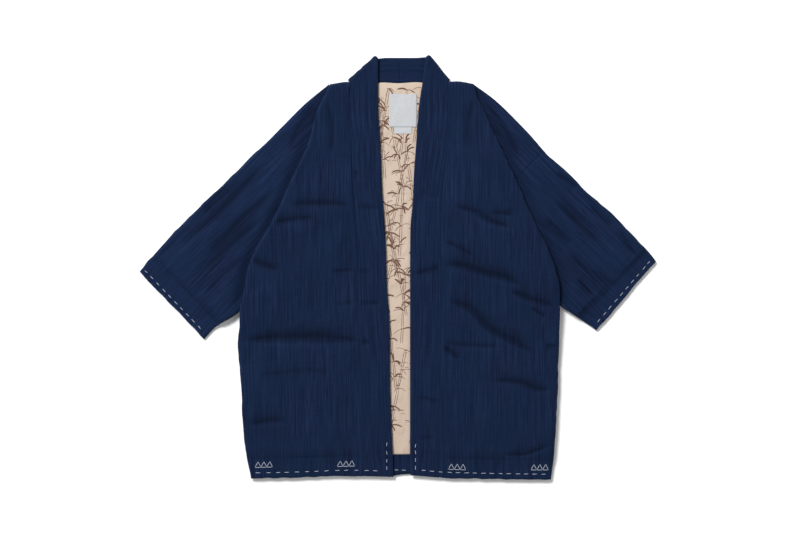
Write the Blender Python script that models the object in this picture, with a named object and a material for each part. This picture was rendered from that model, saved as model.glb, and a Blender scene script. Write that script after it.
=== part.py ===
"""A padded kimono jacket laid flat on a table, its front facing up and its sleeves drawn down.

Metres, +Z up. The jacket lies on the plane z = 0, with +Y towards the collar. The origin is the middle
of its box, on that plane. Left means the side at -X, seen from above. The tables are in millimetres.

The layers, from the table up: the back, its lining and hem facing with the labels on them, then on each
side the arm (a sleeve, and the tuck of the body cloth that its seam hangs from), then the front and its
collar band. Each arm comes out between the front and the back, where the body is folded over it.
"""

from collections import namedtuple

import bmesh
import bpy
import numpy as np

MM = 0.001
LEFT, RIGHT = -1, 1

# Heights and lofts of the padded cloth, in millimetres.
BACK_LOFT = 8.0
FRONT_LOFT = 9.0
COLLAR_LOFT = 7.0
ARM_LOFT = 15.0  # both layers of a sleeve, lying free
ARM_TUCKED = 12.0  # the same, pressed under the front
HEM_BACK_LOFT = 5.5
HEM_FRONT_LOFT = 5.5
CUFF_LOFT = 8.6  # both layers of the cuff band
CLOTH = 1.0  # unpadded cloth
SEAM_GAP = 0.3
LAYER_GAP = 0.4
EDGE_LOFT = 3.6  # a padded edge, measured at its nose
FOLD_LOFT = 6.0  # the nose of a front's fold over its arm
SEAM_LOFT = 5.2  # padded cloth where a seam draws it together

# The turned-up bands, and the hollow between a sleeve's layers.
HEM_BAND = 38.0
CUFF_BAND = 42.0
GROOVE_DEPTH = 1.3
GROOVE_HALF_WIDTH = 7.0
SLEEVE_GAP = 1.2
CUFF_MOUTH_GAP = 3.2

# The stretch of lining and facing that the open fronts show, run a little under the collar bands.
LINING_LEFT, LINING_RIGHT = -98.0, 100.0
NECK_SEAM_Y = 358.0
FACING_HEIGHT = 41.0

LABEL_CENTRE_X = 9.0
LABEL_TOP_Y = 337.0
LABEL_WIDTH, LABEL_HEIGHT = 54.0, 64.5
SIZE_TAB_WIDTH, SIZE_TAB_HEIGHT = 35.0, 13.0

# Distances of the first grid lines from an edge, so that padded edges come out round.
EDGE_STEPS = np.array([0.0, 1.6, 5.0, 11.0])
FRONT_LEVELS = 31

BodyRow = namedtuple("BodyRow", "y edge seam front")
"""One level of the body: its outer fold or side seam, the collar's seam and the front edge."""

LEFT_BODY = [
    BodyRow(-411, -288.0, -69.8, -9.4),
    BodyRow(-373, -296.0, -70.8, -10.3),
    BodyRow(-318, -302.8, -71.8, -13.3),
    BodyRow(-260, -305.8, -72.7, -15.2),
    BodyRow(-186, -309.7, -73.7, -16.2),
    BodyRow(-150, -312.4, -75.0, -16.2),
    BodyRow(-123, -310.0, -76.6, -16.6),
    BodyRow(-80, -307.0, -77.6, -19.1),
    BodyRow(-39, -299.0, -78.6, -22.0),
    BodyRow(-4, -293.0, -79.6, -23.0),
    BodyRow(31, -277.5, -80.5, -24.0),
    BodyRow(91, -242.4, -85.4, -26.9),
    BodyRow(158, -212.6, -90.3, -31.8),
    BodyRow(193, -196.8, -91.3, -32.8),
    BodyRow(238, -176.1, -92.2, -34.7),
    BodyRow(302, -158.1, -95.2, -38.6),
    BodyRow(356, -133.2, -96.1, -39.6),
]
RIGHT_BODY = [
    BodyRow(-413, 298.7, 79.4, 23.8),
    BodyRow(-373, 302.3, 79.4, 22.8),
    BodyRow(-318, 306.2, 80.3, 22.8),
    BodyRow(-260, 309.5, 81.3, 22.8),
    BodyRow(-182, 312.4, 82.7, 22.8),
    BodyRow(-127, 314.3, 83.3, 22.8),
    BodyRow(-74, 314.3, 83.3, 22.8),
    BodyRow(-36, 313.4, 83.3, 22.8),
    BodyRow(-8, 306.9, 83.3, 22.8),
    BodyRow(35, 291.1, 83.3, 23.0),
    BodyRow(80, 268.3, 83.3, 23.8),
    BodyRow(122, 249.0, 84.2, 27.7),
    BodyRow(185, 220.9, 90.1, 30.6),
    BodyRow(238, 196.4, 96.9, 34.5),
    BodyRow(290, 171.8, 98.1, 38.4),
    BodyRow(331, 154.2, 98.1, 43.0),
    BodyRow(357, 145.7, 98.1, 48.2),
]
BODY = {LEFT: LEFT_BODY, RIGHT: RIGHT_BODY}

HemPoint = namedtuple("HemPoint", "x y")
HEM = [
    HemPoint(-290, -410.3),
    HemPoint(-233, -409.5),
    HemPoint(-172, -407.2),
    HemPoint(-100, -404.8),
    HemPoint(-55, -405.2),
    HemPoint(-10, -407.6),
    HemPoint(8, -404.5),
    HemPoint(23, -403.5),
    HemPoint(81, -408.0),
    HemPoint(155, -410.3),
    HemPoint(237, -411.8),
    HemPoint(299, -413.2),
]
SHOULDER = [
    HemPoint(-133, 355.9),
    HemPoint(-96, 360.4),
    HemPoint(-80, 358.4),
    HemPoint(80, 358.4),
    HemPoint(98, 360.4),
    HemPoint(115, 361.5),
    HemPoint(146, 356.5),
]
BACK_HEM_RISE = 2.0  # the back's hem stops this far above the fronts' hem
BACK_NECK = [
    HemPoint(-133, 354.5),
    HemPoint(-112, 355.5),
    HemPoint(-96, 349.5),
    HemPoint(-80, 347.0),
    HemPoint(-60, 351.5),
    HemPoint(-44, 356.8),
    HemPoint(0, 357.0),
    HemPoint(53, 356.8),
    HemPoint(68, 351.5),
    HemPoint(84, 347.0),
    HemPoint(99, 349.5),
    HemPoint(115, 355.5),
    HemPoint(146, 355.0),
]

ArmRow = namedtuple("ArmRow", "along top low")
"""One section of an arm: how far along its axis, and its upper and lower edges, measured across it."""

LEFT_ARM = [
    ArmRow(-152, -347.5, -334.0),
    ArmRow(-96, -353.1, -275.0),
    ArmRow(-30, -353.4, -204.0),
    ArmRow(18, -353.4, -153.0),
    ArmRow(45, -355.2, -130.0),
    ArmRow(104, -354.8, -135.5),
    ArmRow(189, -357.0, -145.5),
    ArmRow(239, -357.2, -152.3),
    ArmRow(287, -355.9, -158.7),
    ArmRow(318, -353.3, -165.2),
    ArmRow(334, -353.1, -168.4),
    ArmRow(364, -350.4, -169.0),
]
RIGHT_ARM = [
    ArmRow(-146, -355.5, -345.0),
    ArmRow(-102, -362.6, -296.0),
    ArmRow(-34, -364.4, -219.0),
    ArmRow(10, -363.0, -169.0),
    ArmRow(45, -360.3, -138.0),
    ArmRow(98, -364.0, -143.5),
    ArmRow(163, -363.8, -152.5),
    ArmRow(216, -367.4, -160.0),
    ArmRow(266, -367.5, -167.0),
    ArmRow(303, -366.0, -173.1),
    ArmRow(329, -364.7, -179.0),
    ArmRow(363, -360.7, -184.8),
]
ARM = {LEFT: LEFT_ARM, RIGHT: RIGHT_ARM}

ArmEnds = namedtuple("ArmEnds", "tuck_start tuck_top tuck_low armhole_top armhole_low cuff_top cuff_low")
ARM_ENDS = {
    LEFT: ArmEnds(-134.0, -150.0, -118.0, 20.0, 45.0, 360.6, 364.0),
    RIGHT: ArmEnds(-128.0, -144.5, -110.0, 40.5, 42.5, 348.8, 363.2),
}

Fold = namedtuple("Fold", "x0 y0 x1 y1 bow depth half_width")
"""A soft trough pressed into a front: its two ends, how far its middle bows down, its depth and size."""

LARGEST_FOLDS = {
    LEFT: [
        Fold(-309, -141, -90, -143, 2, 2.6, 11),
        Fold(-205, 122, -95, 118, 4, 1.6, 10),
        Fold(-246, 86, -158, 94, 3, 1.4, 9),
    ],
    RIGHT: [
        Fold(86, 0, 246, -42, -6, 2.8, 12),
        Fold(214, -45, 305, -80, 5, 2.4, 11),
        Fold(100, -66, 277, -175, 8, 2.8, 12),
        Fold(118, 116, 228, 72, 6, 2.0, 11),
    ],
}

INDIGO = (0.018, 0.034, 0.095, 1.0)
CREAM = (0.62, 0.50, 0.40, 1.0)
LABEL_WHITE = (0.62, 0.63, 0.65, 1.0)


def through(knots, values, at):
    """Values on the smooth curve through a table's points: cubic pieces with the table's own slopes."""
    knots = np.asarray(knots, float)
    values = np.asarray(values, float)
    slopes = np.gradient(values, knots)
    at = np.asarray(at, float)
    i = np.clip(np.searchsorted(knots, at) - 1, 0, len(knots) - 2)
    span = knots[i + 1] - knots[i]
    t = np.clip((at - knots[i]) / span, 0, 1)
    start = values[i] * (1 + 2 * t) * (1 - t) ** 2 + slopes[i] * span * t * (1 - t) ** 2
    end = values[i + 1] * t**2 * (3 - 2 * t) + slopes[i + 1] * span * t**2 * (t - 1)
    return start + end


def ease(value, start, end):
    """0 before start, 1 after end, and a smooth S between them."""
    t = np.clip((value - start) / (end - start), 0, 1)
    return t * t * (3 - 2 * t)


def round_in(distance, reach):
    """A quarter ellipse: 0 on an edge, and 1 from reach inwards."""
    t = np.clip(distance / reach, 0, 1)
    return np.sqrt(1 - (1 - t) ** 2)


def groove(distance):
    """The dip that a line of sewing draws into the padding."""
    return GROOVE_DEPTH * np.exp(-((distance / GROOVE_HALF_WIDTH) ** 2) * 2)


def spread(width, middle):
    """Distances across a width: EDGE_STEPS in from each edge, and even steps in the middle."""
    inner = np.linspace(EDGE_STEPS[-1], width - EDGE_STEPS[-1], middle)[1:-1]
    return np.concatenate([EDGE_STEPS, inner, width - EDGE_STEPS[::-1]])


def column(rows, name):
    return [getattr(row, name) for row in rows]


def body_x(side, name, y):
    rows = BODY[side]
    return through(column(rows, "y"), column(rows, name), y)


def hem_y(x):
    return through(column(HEM, "x"), column(HEM, "y"), x)


def shoulder_y(x):
    return through(column(SHOULDER, "x"), column(SHOULDER, "y"), x)


def back_neck_y(x):
    return through(column(BACK_NECK, "x"), column(BACK_NECK, "y"), x)


def arm_axes(side):
    """The arm's axis, down and out at 45 degrees, and the direction across it, down and in."""
    half = np.sqrt(0.5)
    return np.array([side * half, -half]), np.array([-side * half, -half])


def arm_point(side, along, across):
    """The plan place of a point that is so far along an arm and so far across it."""
    axis, cross = arm_axes(side)
    return along[..., None] * axis + across[..., None] * cross


def arm_place(side, x, y):
    """How far along and across an arm a point of the plan is."""
    axis, cross = arm_axes(side)
    return x * axis[0] + y * axis[1], x * cross[0] + y * cross[1]


def depth_in_body(side, x, y):
    """How far a point lies inside the body's folded edge, square to an edge that slopes like it."""
    slope = (body_x(side, "edge", y + 10) - body_x(side, "edge", y - 10)) / 20
    return side * (body_x(side, "edge", y) - x) / np.sqrt(1 + slope**2)


def in_hem_band(y, hem):
    """1 in the thin turned-up band along the hem, 0 in the padded body above it."""
    return 1 - ease(y - hem, HEM_BAND - 14, HEM_BAND + 22)


def back_top(x, y):
    """The upper face of the back: flat, thinner at the hem, and drawn down at the outer edges."""
    thin = in_hem_band(y, hem_y(x))
    loft = BACK_LOFT + (HEM_BACK_LOFT - BACK_LOFT) * thin
    depth = np.where(x < 0, depth_in_body(LEFT, x, y), depth_in_body(RIGHT, x, y))
    edge = np.minimum(depth, (back_neck_y(x) - y) * 2)
    return loft - 2.0 * (1 - round_in(edge, 12.0)) - 0.8 * (1 - round_in(y - hem_y(x), 5.0))


def inside_top(x, y):
    """The upper face of the lining or the facing, run on past their edges."""
    hem = hem_y(x)
    thin = in_hem_band(y, hem)
    return BACK_LOFT + (HEM_BACK_LOFT - BACK_LOFT) * thin + SEAM_GAP + CLOTH


def arm_low(side, along):
    return through(column(ARM[side], "along"), column(ARM[side], "low"), along)


def over_arm(side, x, y):
    """1 where a front lies over its arm, easing to 0 past the arm's lower edge and at the shoulder."""
    along, across = arm_place(side, x, y)
    return ease(arm_low(side, along) - across, -90, 4) * ease(shoulder_y(x) - y, -4, 12)


def arm_loft(side, x, y, along):
    """The height of both layers of an arm: a thin cuff band, a free sleeve, and the pressed layers under
    the front, which thin out towards the arm's lower edge."""
    ends = ARM_ENDS[side]
    free = 1 - ease(depth_in_body(side, x, y), -45, -2)
    inner = arm_low(side, along) - arm_place(side, x, y)[1]
    tucked = ARM_TUCKED * (0.5 + 0.5 * ease(inner, 0, 120))
    loft = tucked + (ARM_LOFT - tucked) * free
    start = ends.tuck_start
    loft = 3.0 + (loft - 3.0) * ease(along, start, start + 120)
    cuff = ease(along, ends.cuff_low - CUFF_BAND - 10, ends.cuff_low - CUFF_BAND + 6)
    return loft + (CUFF_LOFT - loft) * cuff


def arm_rest(side, x, y):
    """The height of what carries an arm: the back inside the body, and the table outside it."""
    depth = depth_in_body(side, x, y)
    return (BACK_LOFT + LAYER_GAP) * ease(depth, -58, -13)


def front_rest(side, x, y):
    """The height of a front's under face: over the lining, and draped over the arm where it is folded in.
    At the side seam and the shoulder it comes down to meet the back."""
    along = arm_place(side, x, y)[0]
    arm_top = BACK_LOFT + LAYER_GAP + arm_loft(side, x, y, along) + 3 * LAYER_GAP
    lining_top = inside_top(x, y) + LAYER_GAP
    depth = depth_in_body(side, x, y)
    shoulder = shoulder_y(x) - y
    meet = 1 - round_in(np.minimum(depth, shoulder * 1.5), 16.0)
    seam_side = lining_top - (lining_top - back_top(x, y) - 2 * LAYER_GAP) * meet
    fold_side = arm_top + 0.8 * (1 - round_in(depth, 9.0))
    return seam_side + (fold_side - seam_side) * over_arm(side, x, y)


def fold_depth(side, x, y):
    """How deep the largest folds press a front's upper face at a place."""
    depth = np.zeros_like(x)
    for fold in LARGEST_FOLDS[side]:
        run = np.array([fold.x1 - fold.x0, fold.y1 - fold.y0], float)
        length = np.hypot(*run)
        run /= length
        t = ((x - fold.x0) * run[0] + (y - fold.y0) * run[1]) / length
        off = (y - fold.y0) * run[0] - (x - fold.x0) * run[1]
        off = off + fold.bow * 4 * np.clip(t, 0, 1) * (1 - np.clip(t, 0, 1))
        ends = ease(t, -0.06, 0.15) * (1 - ease(t, 0.85, 1.06))
        depth += fold.depth * ends * np.exp(-((off / fold.half_width) ** 2) * 1.5)
    return depth


def front_loft(side, x, y, from_seam):
    """The padding of a front: drawn in at its edges, at the collar's seam and along the hem band."""
    from_hem = y - hem_y(x)
    thin = in_hem_band(y, hem_y(x))
    full = FRONT_LOFT + (HEM_FRONT_LOFT - FRONT_LOFT) * thin
    edge = np.minimum(depth_in_body(side, x, y), np.minimum(from_hem, shoulder_y(x) - y))
    nose = EDGE_LOFT + (FOLD_LOFT - EDGE_LOFT) * over_arm(side, x, y)
    loft = nose + (full - nose) * round_in(edge, 10.0)
    seam = np.minimum(SEAM_LOFT, loft)
    loft = seam + (loft - seam) * round_in(from_seam, 14.0)
    inside = round_in(edge, 20.0)
    return loft - (groove(from_hem - HEM_BAND) + fold_depth(side, x, y)) * inside


def material(name, colour, roughness):
    made = bpy.data.materials.new(name)
    made.use_nodes = True
    shader = made.node_tree.nodes["Principled BSDF"]
    shader.inputs["Base Color"].default_value = colour
    shader.inputs["Roughness"].default_value = roughness
    shader.inputs["Metallic"].default_value = 0.0
    return made


def add_object(name, mesh, collection, finish):
    """An object for the mesh, in the jacket's collection, with its faces out and its own material."""
    whole = bmesh.new()
    whole.from_mesh(mesh)
    bmesh.ops.recalc_face_normals(whole, faces=whole.faces)
    whole.to_mesh(mesh)
    whole.free()
    mesh.shade_smooth()
    mesh.set_sharp_from_angle(angle=np.radians(50))
    made = bpy.data.objects.new(name, mesh)
    made.data.materials.append(material(name, *finish))
    collection.objects.link(made)
    return made


def grid_faces(rows, columns, first):
    """Quads between the points of a grid that are numbered row by row from first."""
    i, j = np.meshgrid(np.arange(rows - 1), np.arange(columns - 1), indexing="ij")
    corner = first + i * columns + j
    quads = np.stack([corner, corner + 1, corner + columns + 1, corner + columns], axis=-1)
    return quads.reshape(-1, 4)


def rim_loop(rows, columns):
    """The numbers of a grid's border points, in order round it."""
    numbers = np.arange(rows * columns).reshape(rows, columns)
    return np.concatenate([numbers[0], numbers[1:, -1], numbers[-1, -2::-1], numbers[-2:0:-1, 0]])


def loft_slab(name, top, low, collection, finish):
    """A padded panel lofted through its sections: an upper and an under face, and a rim that joins them."""
    rows, columns = top.shape[:2]
    points = np.concatenate([top.reshape(-1, 3), low.reshape(-1, 3)]) * MM
    rim = rim_loop(rows, columns)
    after = np.roll(rim, -1)
    under = rows * columns
    rim_faces = np.stack([rim, after, after + under, rim + under], axis=-1)
    faces = np.concatenate(
        [grid_faces(rows, columns, 0), grid_faces(rows, columns, under)[:, ::-1], rim_faces]
    )
    mesh = bpy.data.meshes.new(name)
    mesh.from_pydata(points.tolist(), [], faces.tolist())
    return add_object(name, mesh, collection, finish)


def ring_faces(rows, count, first):
    """Quads between closed rings that are numbered one after another from first."""
    i, j = np.meshgrid(np.arange(rows - 1), np.arange(count), indexing="ij")
    here = first + i * count
    after = (j + 1) % count
    return np.stack([here + j, here + after, here + count + after, here + count + j], axis=-1).reshape(-1, 4)


def loft_tube(name, outer, inner, collection, finish):
    """A tube of cloth lofted through outer and inner rings, its wall closed at both open ends."""
    rows, count = outer.shape[:2]
    points = np.concatenate([outer.reshape(-1, 3), inner.reshape(-1, 3)]) * MM
    under = rows * count
    j = np.arange(count)
    after = (j + 1) % count
    ends = [
        np.stack([row + j, row + after, row + after + under, row + j + under], axis=-1)
        for row in (0, (rows - 1) * count)
    ]
    faces = np.concatenate(
        [ring_faces(rows, count, 0), ring_faces(rows, count, under)[:, ::-1], *ends]
    )
    mesh = bpy.data.meshes.new(name)
    mesh.from_pydata(points.tolist(), [], faces.tolist())
    return add_object(name, mesh, collection, finish)


def level_rows(middle):
    """Shares of the way from hem to shoulder, with closer rows at both ends and at the band's seam."""
    length = SHOULDER[0].y - HEM[0].y
    band = HEM_BAND + np.array([-16.0, -6.0, 0.0, 6.0, 16.0])
    upper = np.linspace(HEM_BAND + 16.0, length - EDGE_STEPS[-1], middle)[1:]
    return np.concatenate([EDGE_STEPS, band, upper, length - EDGE_STEPS[-2::-1]]) / length


def panel_levels(rows):
    return HEM[0].y + rows * (SHOULDER[0].y - HEM[0].y)


def panel_plan(left_x, right_x, rows, middle, top_y):
    """The plan of a panel: straight rows between its two edges, and levels from the hem to its top."""
    xs = []
    for y in panel_levels(rows):
        left, right = float(left_x(y)), float(right_x(y))
        xs.append(left + spread(right - left, middle))
    x = np.array(xs)
    return x, hem_y(x) + rows[:, None] * (top_y(x) - hem_y(x))


def make_front(side, collection):
    """One front, from its folded outer edge and side seam to the seam of the collar band."""
    rows = level_rows(FRONT_LEVELS)
    edges = [
        lambda y: body_x(side, "edge", y),
        lambda y: body_x(side, "seam", y) + side * SEAM_GAP / 2,
    ]
    x, y = panel_plan(*(edges if side == LEFT else edges[::-1]), rows, 9, shoulder_y)
    from_seam = np.abs(x - body_x(side, "seam", y))
    low = front_rest(side, x, y)
    top = low + front_loft(side, x, y, from_seam)
    name = "front_left" if side == LEFT else "front_right"
    return loft_slab(
        name, np.stack([x, y, top], -1), np.stack([x, y, low], -1), collection, (INDIGO, 0.85)
    )


def make_back(collection):
    """The back, flat where it rests, with its outer edges rounded up from the table."""
    rows = level_rows(15)
    edges = [lambda y: body_x(LEFT, "edge", y) + 1.5, lambda y: body_x(RIGHT, "edge", y) - 1.5]
    x, y = panel_plan(*edges, rows, 15, back_neck_y)
    y = y + BACK_HEM_RISE * (1 - rows[:, None])
    outer = np.minimum(np.abs(x - x[:, :1]), np.abs(x - x[:, -1:]))
    edge = np.minimum(outer, np.minimum((y - y[:1]), (y[-1:] - y)))
    low = 2.4 * (1 - round_in(edge, 10.0))
    top = back_top(x, y)
    return loft_slab(
        "back", np.stack([x, y, top], -1), np.stack([x, y, low], -1), collection, (INDIGO, 0.85)
    )


def arm_grid(side, shares, start, end, middle):
    """Sections of an arm between two slanting lines across it: places, and distances from its edges."""
    rows = ARM[side]
    grid = []
    for share in shares:
        along_top = start[0] + share * (end[0] - start[0])
        along_low = start[1] + share * (end[1] - start[1])
        top = through(column(rows, "along"), column(rows, "top"), along_top)
        low = through(column(rows, "along"), column(rows, "low"), along_low)
        width = float(low - top)
        across = spread(width, middle)
        along = along_top + (along_low - along_top) * across / width
        grid.append(np.stack([along, top + across, across, width - across], -1))
    along, across, from_top, from_low = np.moveaxis(np.array(grid), -1, 0)
    place = arm_point(side, along, across)
    return place[..., 0], place[..., 1], along, np.minimum(from_top, from_low)


def make_sleeve(side, collection):
    """A sleeve lying flat: a tube of padded cloth, open at the cuff and at the armhole."""
    ends = ARM_ENDS[side]
    length = ends.cuff_top - ends.armhole_top
    stations = np.concatenate(
        [
            [0.0, 4.0, 10.0],
            np.linspace(24, length - CUFF_BAND - 14, 9),
            length - CUFF_BAND + np.array([-5.0, 0.0, 5.0]),
            [length - 22, length - 9, length - 3, length],
        ]
    )
    start = (ends.armhole_top + SEAM_GAP / 2, ends.armhole_low + SEAM_GAP / 2)
    x, y, along, edge = arm_grid(side, stations / length, start, (ends.cuff_top, ends.cuff_low), 7)
    from_armhole, from_cuff = stations[:, None], (length - stations)[:, None]
    loft = arm_loft(side, x, y, along)
    loft = loft - 2 * groove(from_cuff - CUFF_BAND) - 2.6 * (1 - round_in(from_armhole, 10.0))
    loft = loft - 1.2 * (1 - round_in(from_cuff, 4.0))
    rest = arm_rest(side, x, y)
    middle = rest + loft / 2
    half = 1.2 + (loft / 2 - 1.2) * round_in(edge, 11.0)
    upper = np.stack([x, y, middle + half], -1)
    under = np.stack([x, y, middle - half], -1)
    outer = np.concatenate([upper, under[:, -2:0:-1]], axis=1)

    wall = 5.0
    width = np.hypot(np.ptp(x, axis=1), np.ptp(y, axis=1))[:, None]
    inset_x = x + (x.mean(1, keepdims=True) - x) * wall / (width / 2)
    inset_y = y + (y.mean(1, keepdims=True) - y) * wall / (width / 2)
    mouth = ease(from_cuff, 60, 0)
    gap = SLEEVE_GAP + (CUFF_MOUTH_GAP - SLEEVE_GAP) * mouth
    half_gap = (0.2 + (gap / 2 - 0.2) * round_in(edge, 40.0)) * np.ones_like(x)
    upper = np.stack([inset_x, inset_y, middle + half_gap], -1)
    under = np.stack([inset_x, inset_y, middle - half_gap], -1)
    inner = np.concatenate([upper, under[:, -2:0:-1]], axis=1)
    name = "sleeve_left" if side == LEFT else "sleeve_right"
    return loft_tube(name, outer, inner, collection, (INDIGO, 0.85))


def make_tuck(side, collection):
    """The body cloth folded in at the shoulder: a wedge from the shoulder's corner to the armhole seam.
    Its hidden layers are one rounded solid."""
    ends = ARM_ENDS[side]
    length = ends.armhole_top - ends.tuck_top
    stations = np.concatenate([np.linspace(0, length - 24, 8), length - np.array([10.0, 4.0, 0.0])])
    end = (ends.armhole_top - SEAM_GAP / 2, ends.armhole_low - SEAM_GAP / 2)
    start = (ends.tuck_top, ends.tuck_low)
    x, y, along, edge = arm_grid(side, stations / length, start, end, 7)
    loft = arm_loft(side, x, y, along) - 2.6 * (1 - round_in((length - stations)[:, None], 10.0))
    middle = arm_rest(side, x, y) + loft / 2
    half = 0.8 + (loft / 2 - 0.8) * round_in(edge, 11.0)
    name = "shoulder_tuck_left" if side == LEFT else "shoulder_tuck_right"
    return loft_slab(
        name,
        np.stack([x, y, middle + half], -1),
        np.stack([x, y, middle - half], -1),
        collection,
        (INDIGO, 0.85),
    )


BandEnd = namedtuple("BandEnd", "seam_x seam_y free_x free_y")
NECK_FOLD = {
    LEFT: BandEnd(-93.2, 358.0, -39.5, 406.6),
    RIGHT: BandEnd(95.2, 358.9, 53.7, 409.1),
}
CENTRE_BACK_X = 2.5
BACK_BAND_TOP = 408.0
NECK_LOW = BACK_LOFT + SEAM_GAP + CLOTH + LAYER_GAP  # the front bands' under face, at the neck too
COLLAR_WIDTH = 60.0
COLLAR_COLUMNS = np.array([0.0, 1.6, 5.0, 12.0, 30.0, 48.0, 55.0, 58.4, 60.0]) / COLLAR_WIDTH


def collar_sections(side):
    """The band's middle line sections, from the hem up the front, over the fold at the side of the neck
    and round to the centre back: the seam end, the free end and the way that its outer face looks."""
    up = np.array([0.0, 0.0, 1.0])
    sections = []
    rows = level_rows(FRONT_LEVELS)
    for row, level in zip(rows[:-4], panel_levels(rows[:-4])):
        ends = []
        for name, shift in (("seam", -side * SEAM_GAP / 2), ("front", 0.0)):
            x = float(body_x(side, name, level))
            y = float(hem_y(x) + row * (shoulder_y(x) - hem_y(x)))
            ends.append(np.array([x + shift, y, float(inside_top(x, y)) + LAYER_GAP]))
        sections.append((ends[0], ends[1], up))

    fold = NECK_FOLD[side]
    seam, free = np.array([fold.seam_x, fold.seam_y]), np.array([fold.free_x, fold.free_y])
    along = (free - seam) / np.linalg.norm(free - seam)
    out = np.array([-along[1], along[0]]) * -side
    middle_z = NECK_LOW / 2 + COLLAR_LOFT / 2
    radius = middle_z - COLLAR_LOFT / 2
    for degrees in (0, 40, 75, 105, 140, 180):
        turn = np.radians(degrees)
        face = np.array([out[0] * np.sin(turn), out[1] * np.sin(turn), np.cos(turn)])
        base = np.array([0, 0, middle_z]) + face * radius
        ends = [np.array([*p, 0.0]) + base - up * COLLAR_LOFT / 2 for p in (seam, free)]
        sections.append((ends[0], ends[1], face))

    for share in (0.3, 0.55, 0.8, 1.0):
        goal_x = CENTRE_BACK_X - side * -1 * SEAM_GAP / 2
        seam_x = fold.seam_x + (goal_x - fold.seam_x) * share
        free_x = fold.free_x + (goal_x - fold.free_x) * share
        free_y = fold.free_y + (BACK_BAND_TOP - fold.free_y) * float(ease(share, 0, 0.4))
        seam_y = NECK_SEAM_Y + 2.0
        ends = (np.array([seam_x, seam_y, 0.0]), np.array([free_x, free_y, 0.0]))
        sections.append((*ends, -up))
    return sections


def make_collar(side, collection):
    """Half of the collar band, with its seam at the centre back."""
    columns = COLLAR_COLUMNS
    top, low = [], []
    sections = collar_sections(side)
    for number, (seam, free, face) in enumerate(sections):
        width = np.linalg.norm(free - seam)
        line = seam + columns[:, None] * (free - seam)
        from_seam, from_free = columns * width, (1 - columns) * width
        full = COLLAR_LOFT
        if number < 4:
            full = HEM_FRONT_LOFT - 0.2
        loft = EDGE_LOFT + (full - EDGE_LOFT) * round_in(from_free, 6.0)
        loft = np.minimum(loft, SEAM_LOFT + (full - SEAM_LOFT) * round_in(from_seam, 12.0))
        if number == 0 or number == len(sections) - 1:
            loft = loft * 0.75
        lifted = line + np.array([0.0, 0.0, COLLAR_LOFT / 2])
        if face[2] > 0.99:
            lifted = line + np.array([0.0, 0.0, 1.0]) * loft[:, None] / 2
        if face[2] < -0.99 and number > len(sections) - 5:
            lifted = line + np.array([0.0, 0.0, 1.0]) * loft[:, None] / 2
        top.append(lifted + face * loft[:, None] / 2)
        low.append(lifted - face * loft[:, None] / 2)
    name = "collar_left" if side == LEFT else "collar_right"
    return loft_slab(name, np.array(top), np.array(low), collection, (INDIGO, 0.85))


def make_sheet(name, sides, bottom_y, top_y, near, lift, finish, collection, steps=(7, 6)):
    """Unpadded cloth that lies on the back: its points are the back's, moved out, and it is 1 mm thick.
    near lists the first rows' distances from its bottom edge."""
    x = np.linspace(*sides, steps[0])[None, :]
    bottom, top = bottom_y(x), top_y(x)
    even = np.linspace(0, 1, steps[1])[:, None]
    first = np.array(near, float)[:, None]
    y = np.concatenate([bottom + first[:-1], bottom + first[-1] + even * (top - bottom - first[-1])])
    x = x + 0 * y
    low = inside_top(x, y) - CLOTH - SEAM_GAP + lift
    return loft_slab(name, np.stack([x, y, low + CLOTH], -1), np.stack([x, y, low], -1), collection, finish)


def make_inside(collection):
    """The lining that the open fronts show, the hem's facing below it, and the two blank labels."""
    sides = (LINING_LEFT, LINING_RIGHT)

    def seam(x):
        return hem_y(x) + FACING_HEIGHT

    make_sheet(
        "lining", sides, seam, lambda x: back_neck_y(x) - 1.5, (0, 4, 9, 18, 30), SEAM_GAP,
        (CREAM, 0.75), collection, (9, 14),
    )
    make_sheet(
        "hem_facing", sides, lambda x: hem_y(x) + 5, lambda x: seam(x) - SEAM_GAP,
        (0, 4, 9, 16, 22), SEAM_GAP, (INDIGO, 0.85), collection, (9, 3),
    )
    on_lining = SEAM_GAP + CLOTH + SEAM_GAP
    left = LABEL_CENTRE_X - LABEL_WIDTH / 2
    bottom = LABEL_TOP_Y - LABEL_HEIGHT
    make_sheet(
        "label", (left, left + LABEL_WIDTH), lambda x: bottom + 0 * x, lambda x: LABEL_TOP_Y + 0 * x,
        (0,), on_lining, (LABEL_WHITE, 0.6), collection, (4, 4),
    )
    left = LABEL_CENTRE_X - SIZE_TAB_WIDTH / 2
    top = bottom - SEAM_GAP
    make_sheet(
        "size_tab", (left, left + SIZE_TAB_WIDTH), lambda x: top - SIZE_TAB_HEIGHT + 0 * x,
        lambda x: top + 0 * x, (0,), on_lining, (LABEL_WHITE, 0.6), collection, (3, 2),
    )


def main():
    for old in list(bpy.data.objects):
        bpy.data.objects.remove(old)
    jacket = bpy.data.collections.new("padded_kimono_jacket")
    bpy.context.scene.collection.children.link(jacket)
    make_back(jacket)
    make_inside(jacket)
    for side in (LEFT, RIGHT):
        make_tuck(side, jacket)
        make_sleeve(side, jacket)
        make_front(side, jacket)
        make_collar(side, jacket)


main()
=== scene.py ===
"""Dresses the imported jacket: padded slub cotton with its creases and seams, running stitches in white
thread, the cream lining with a brushed bamboo pattern, and the two blank woven labels.

Lengths inside the shape functions are millimetres, in the frame of the jacket's solids: +X right, +Y
towards the collar, +Z up from the table. Left is the side at -X.
"""

from collections import namedtuple

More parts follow.
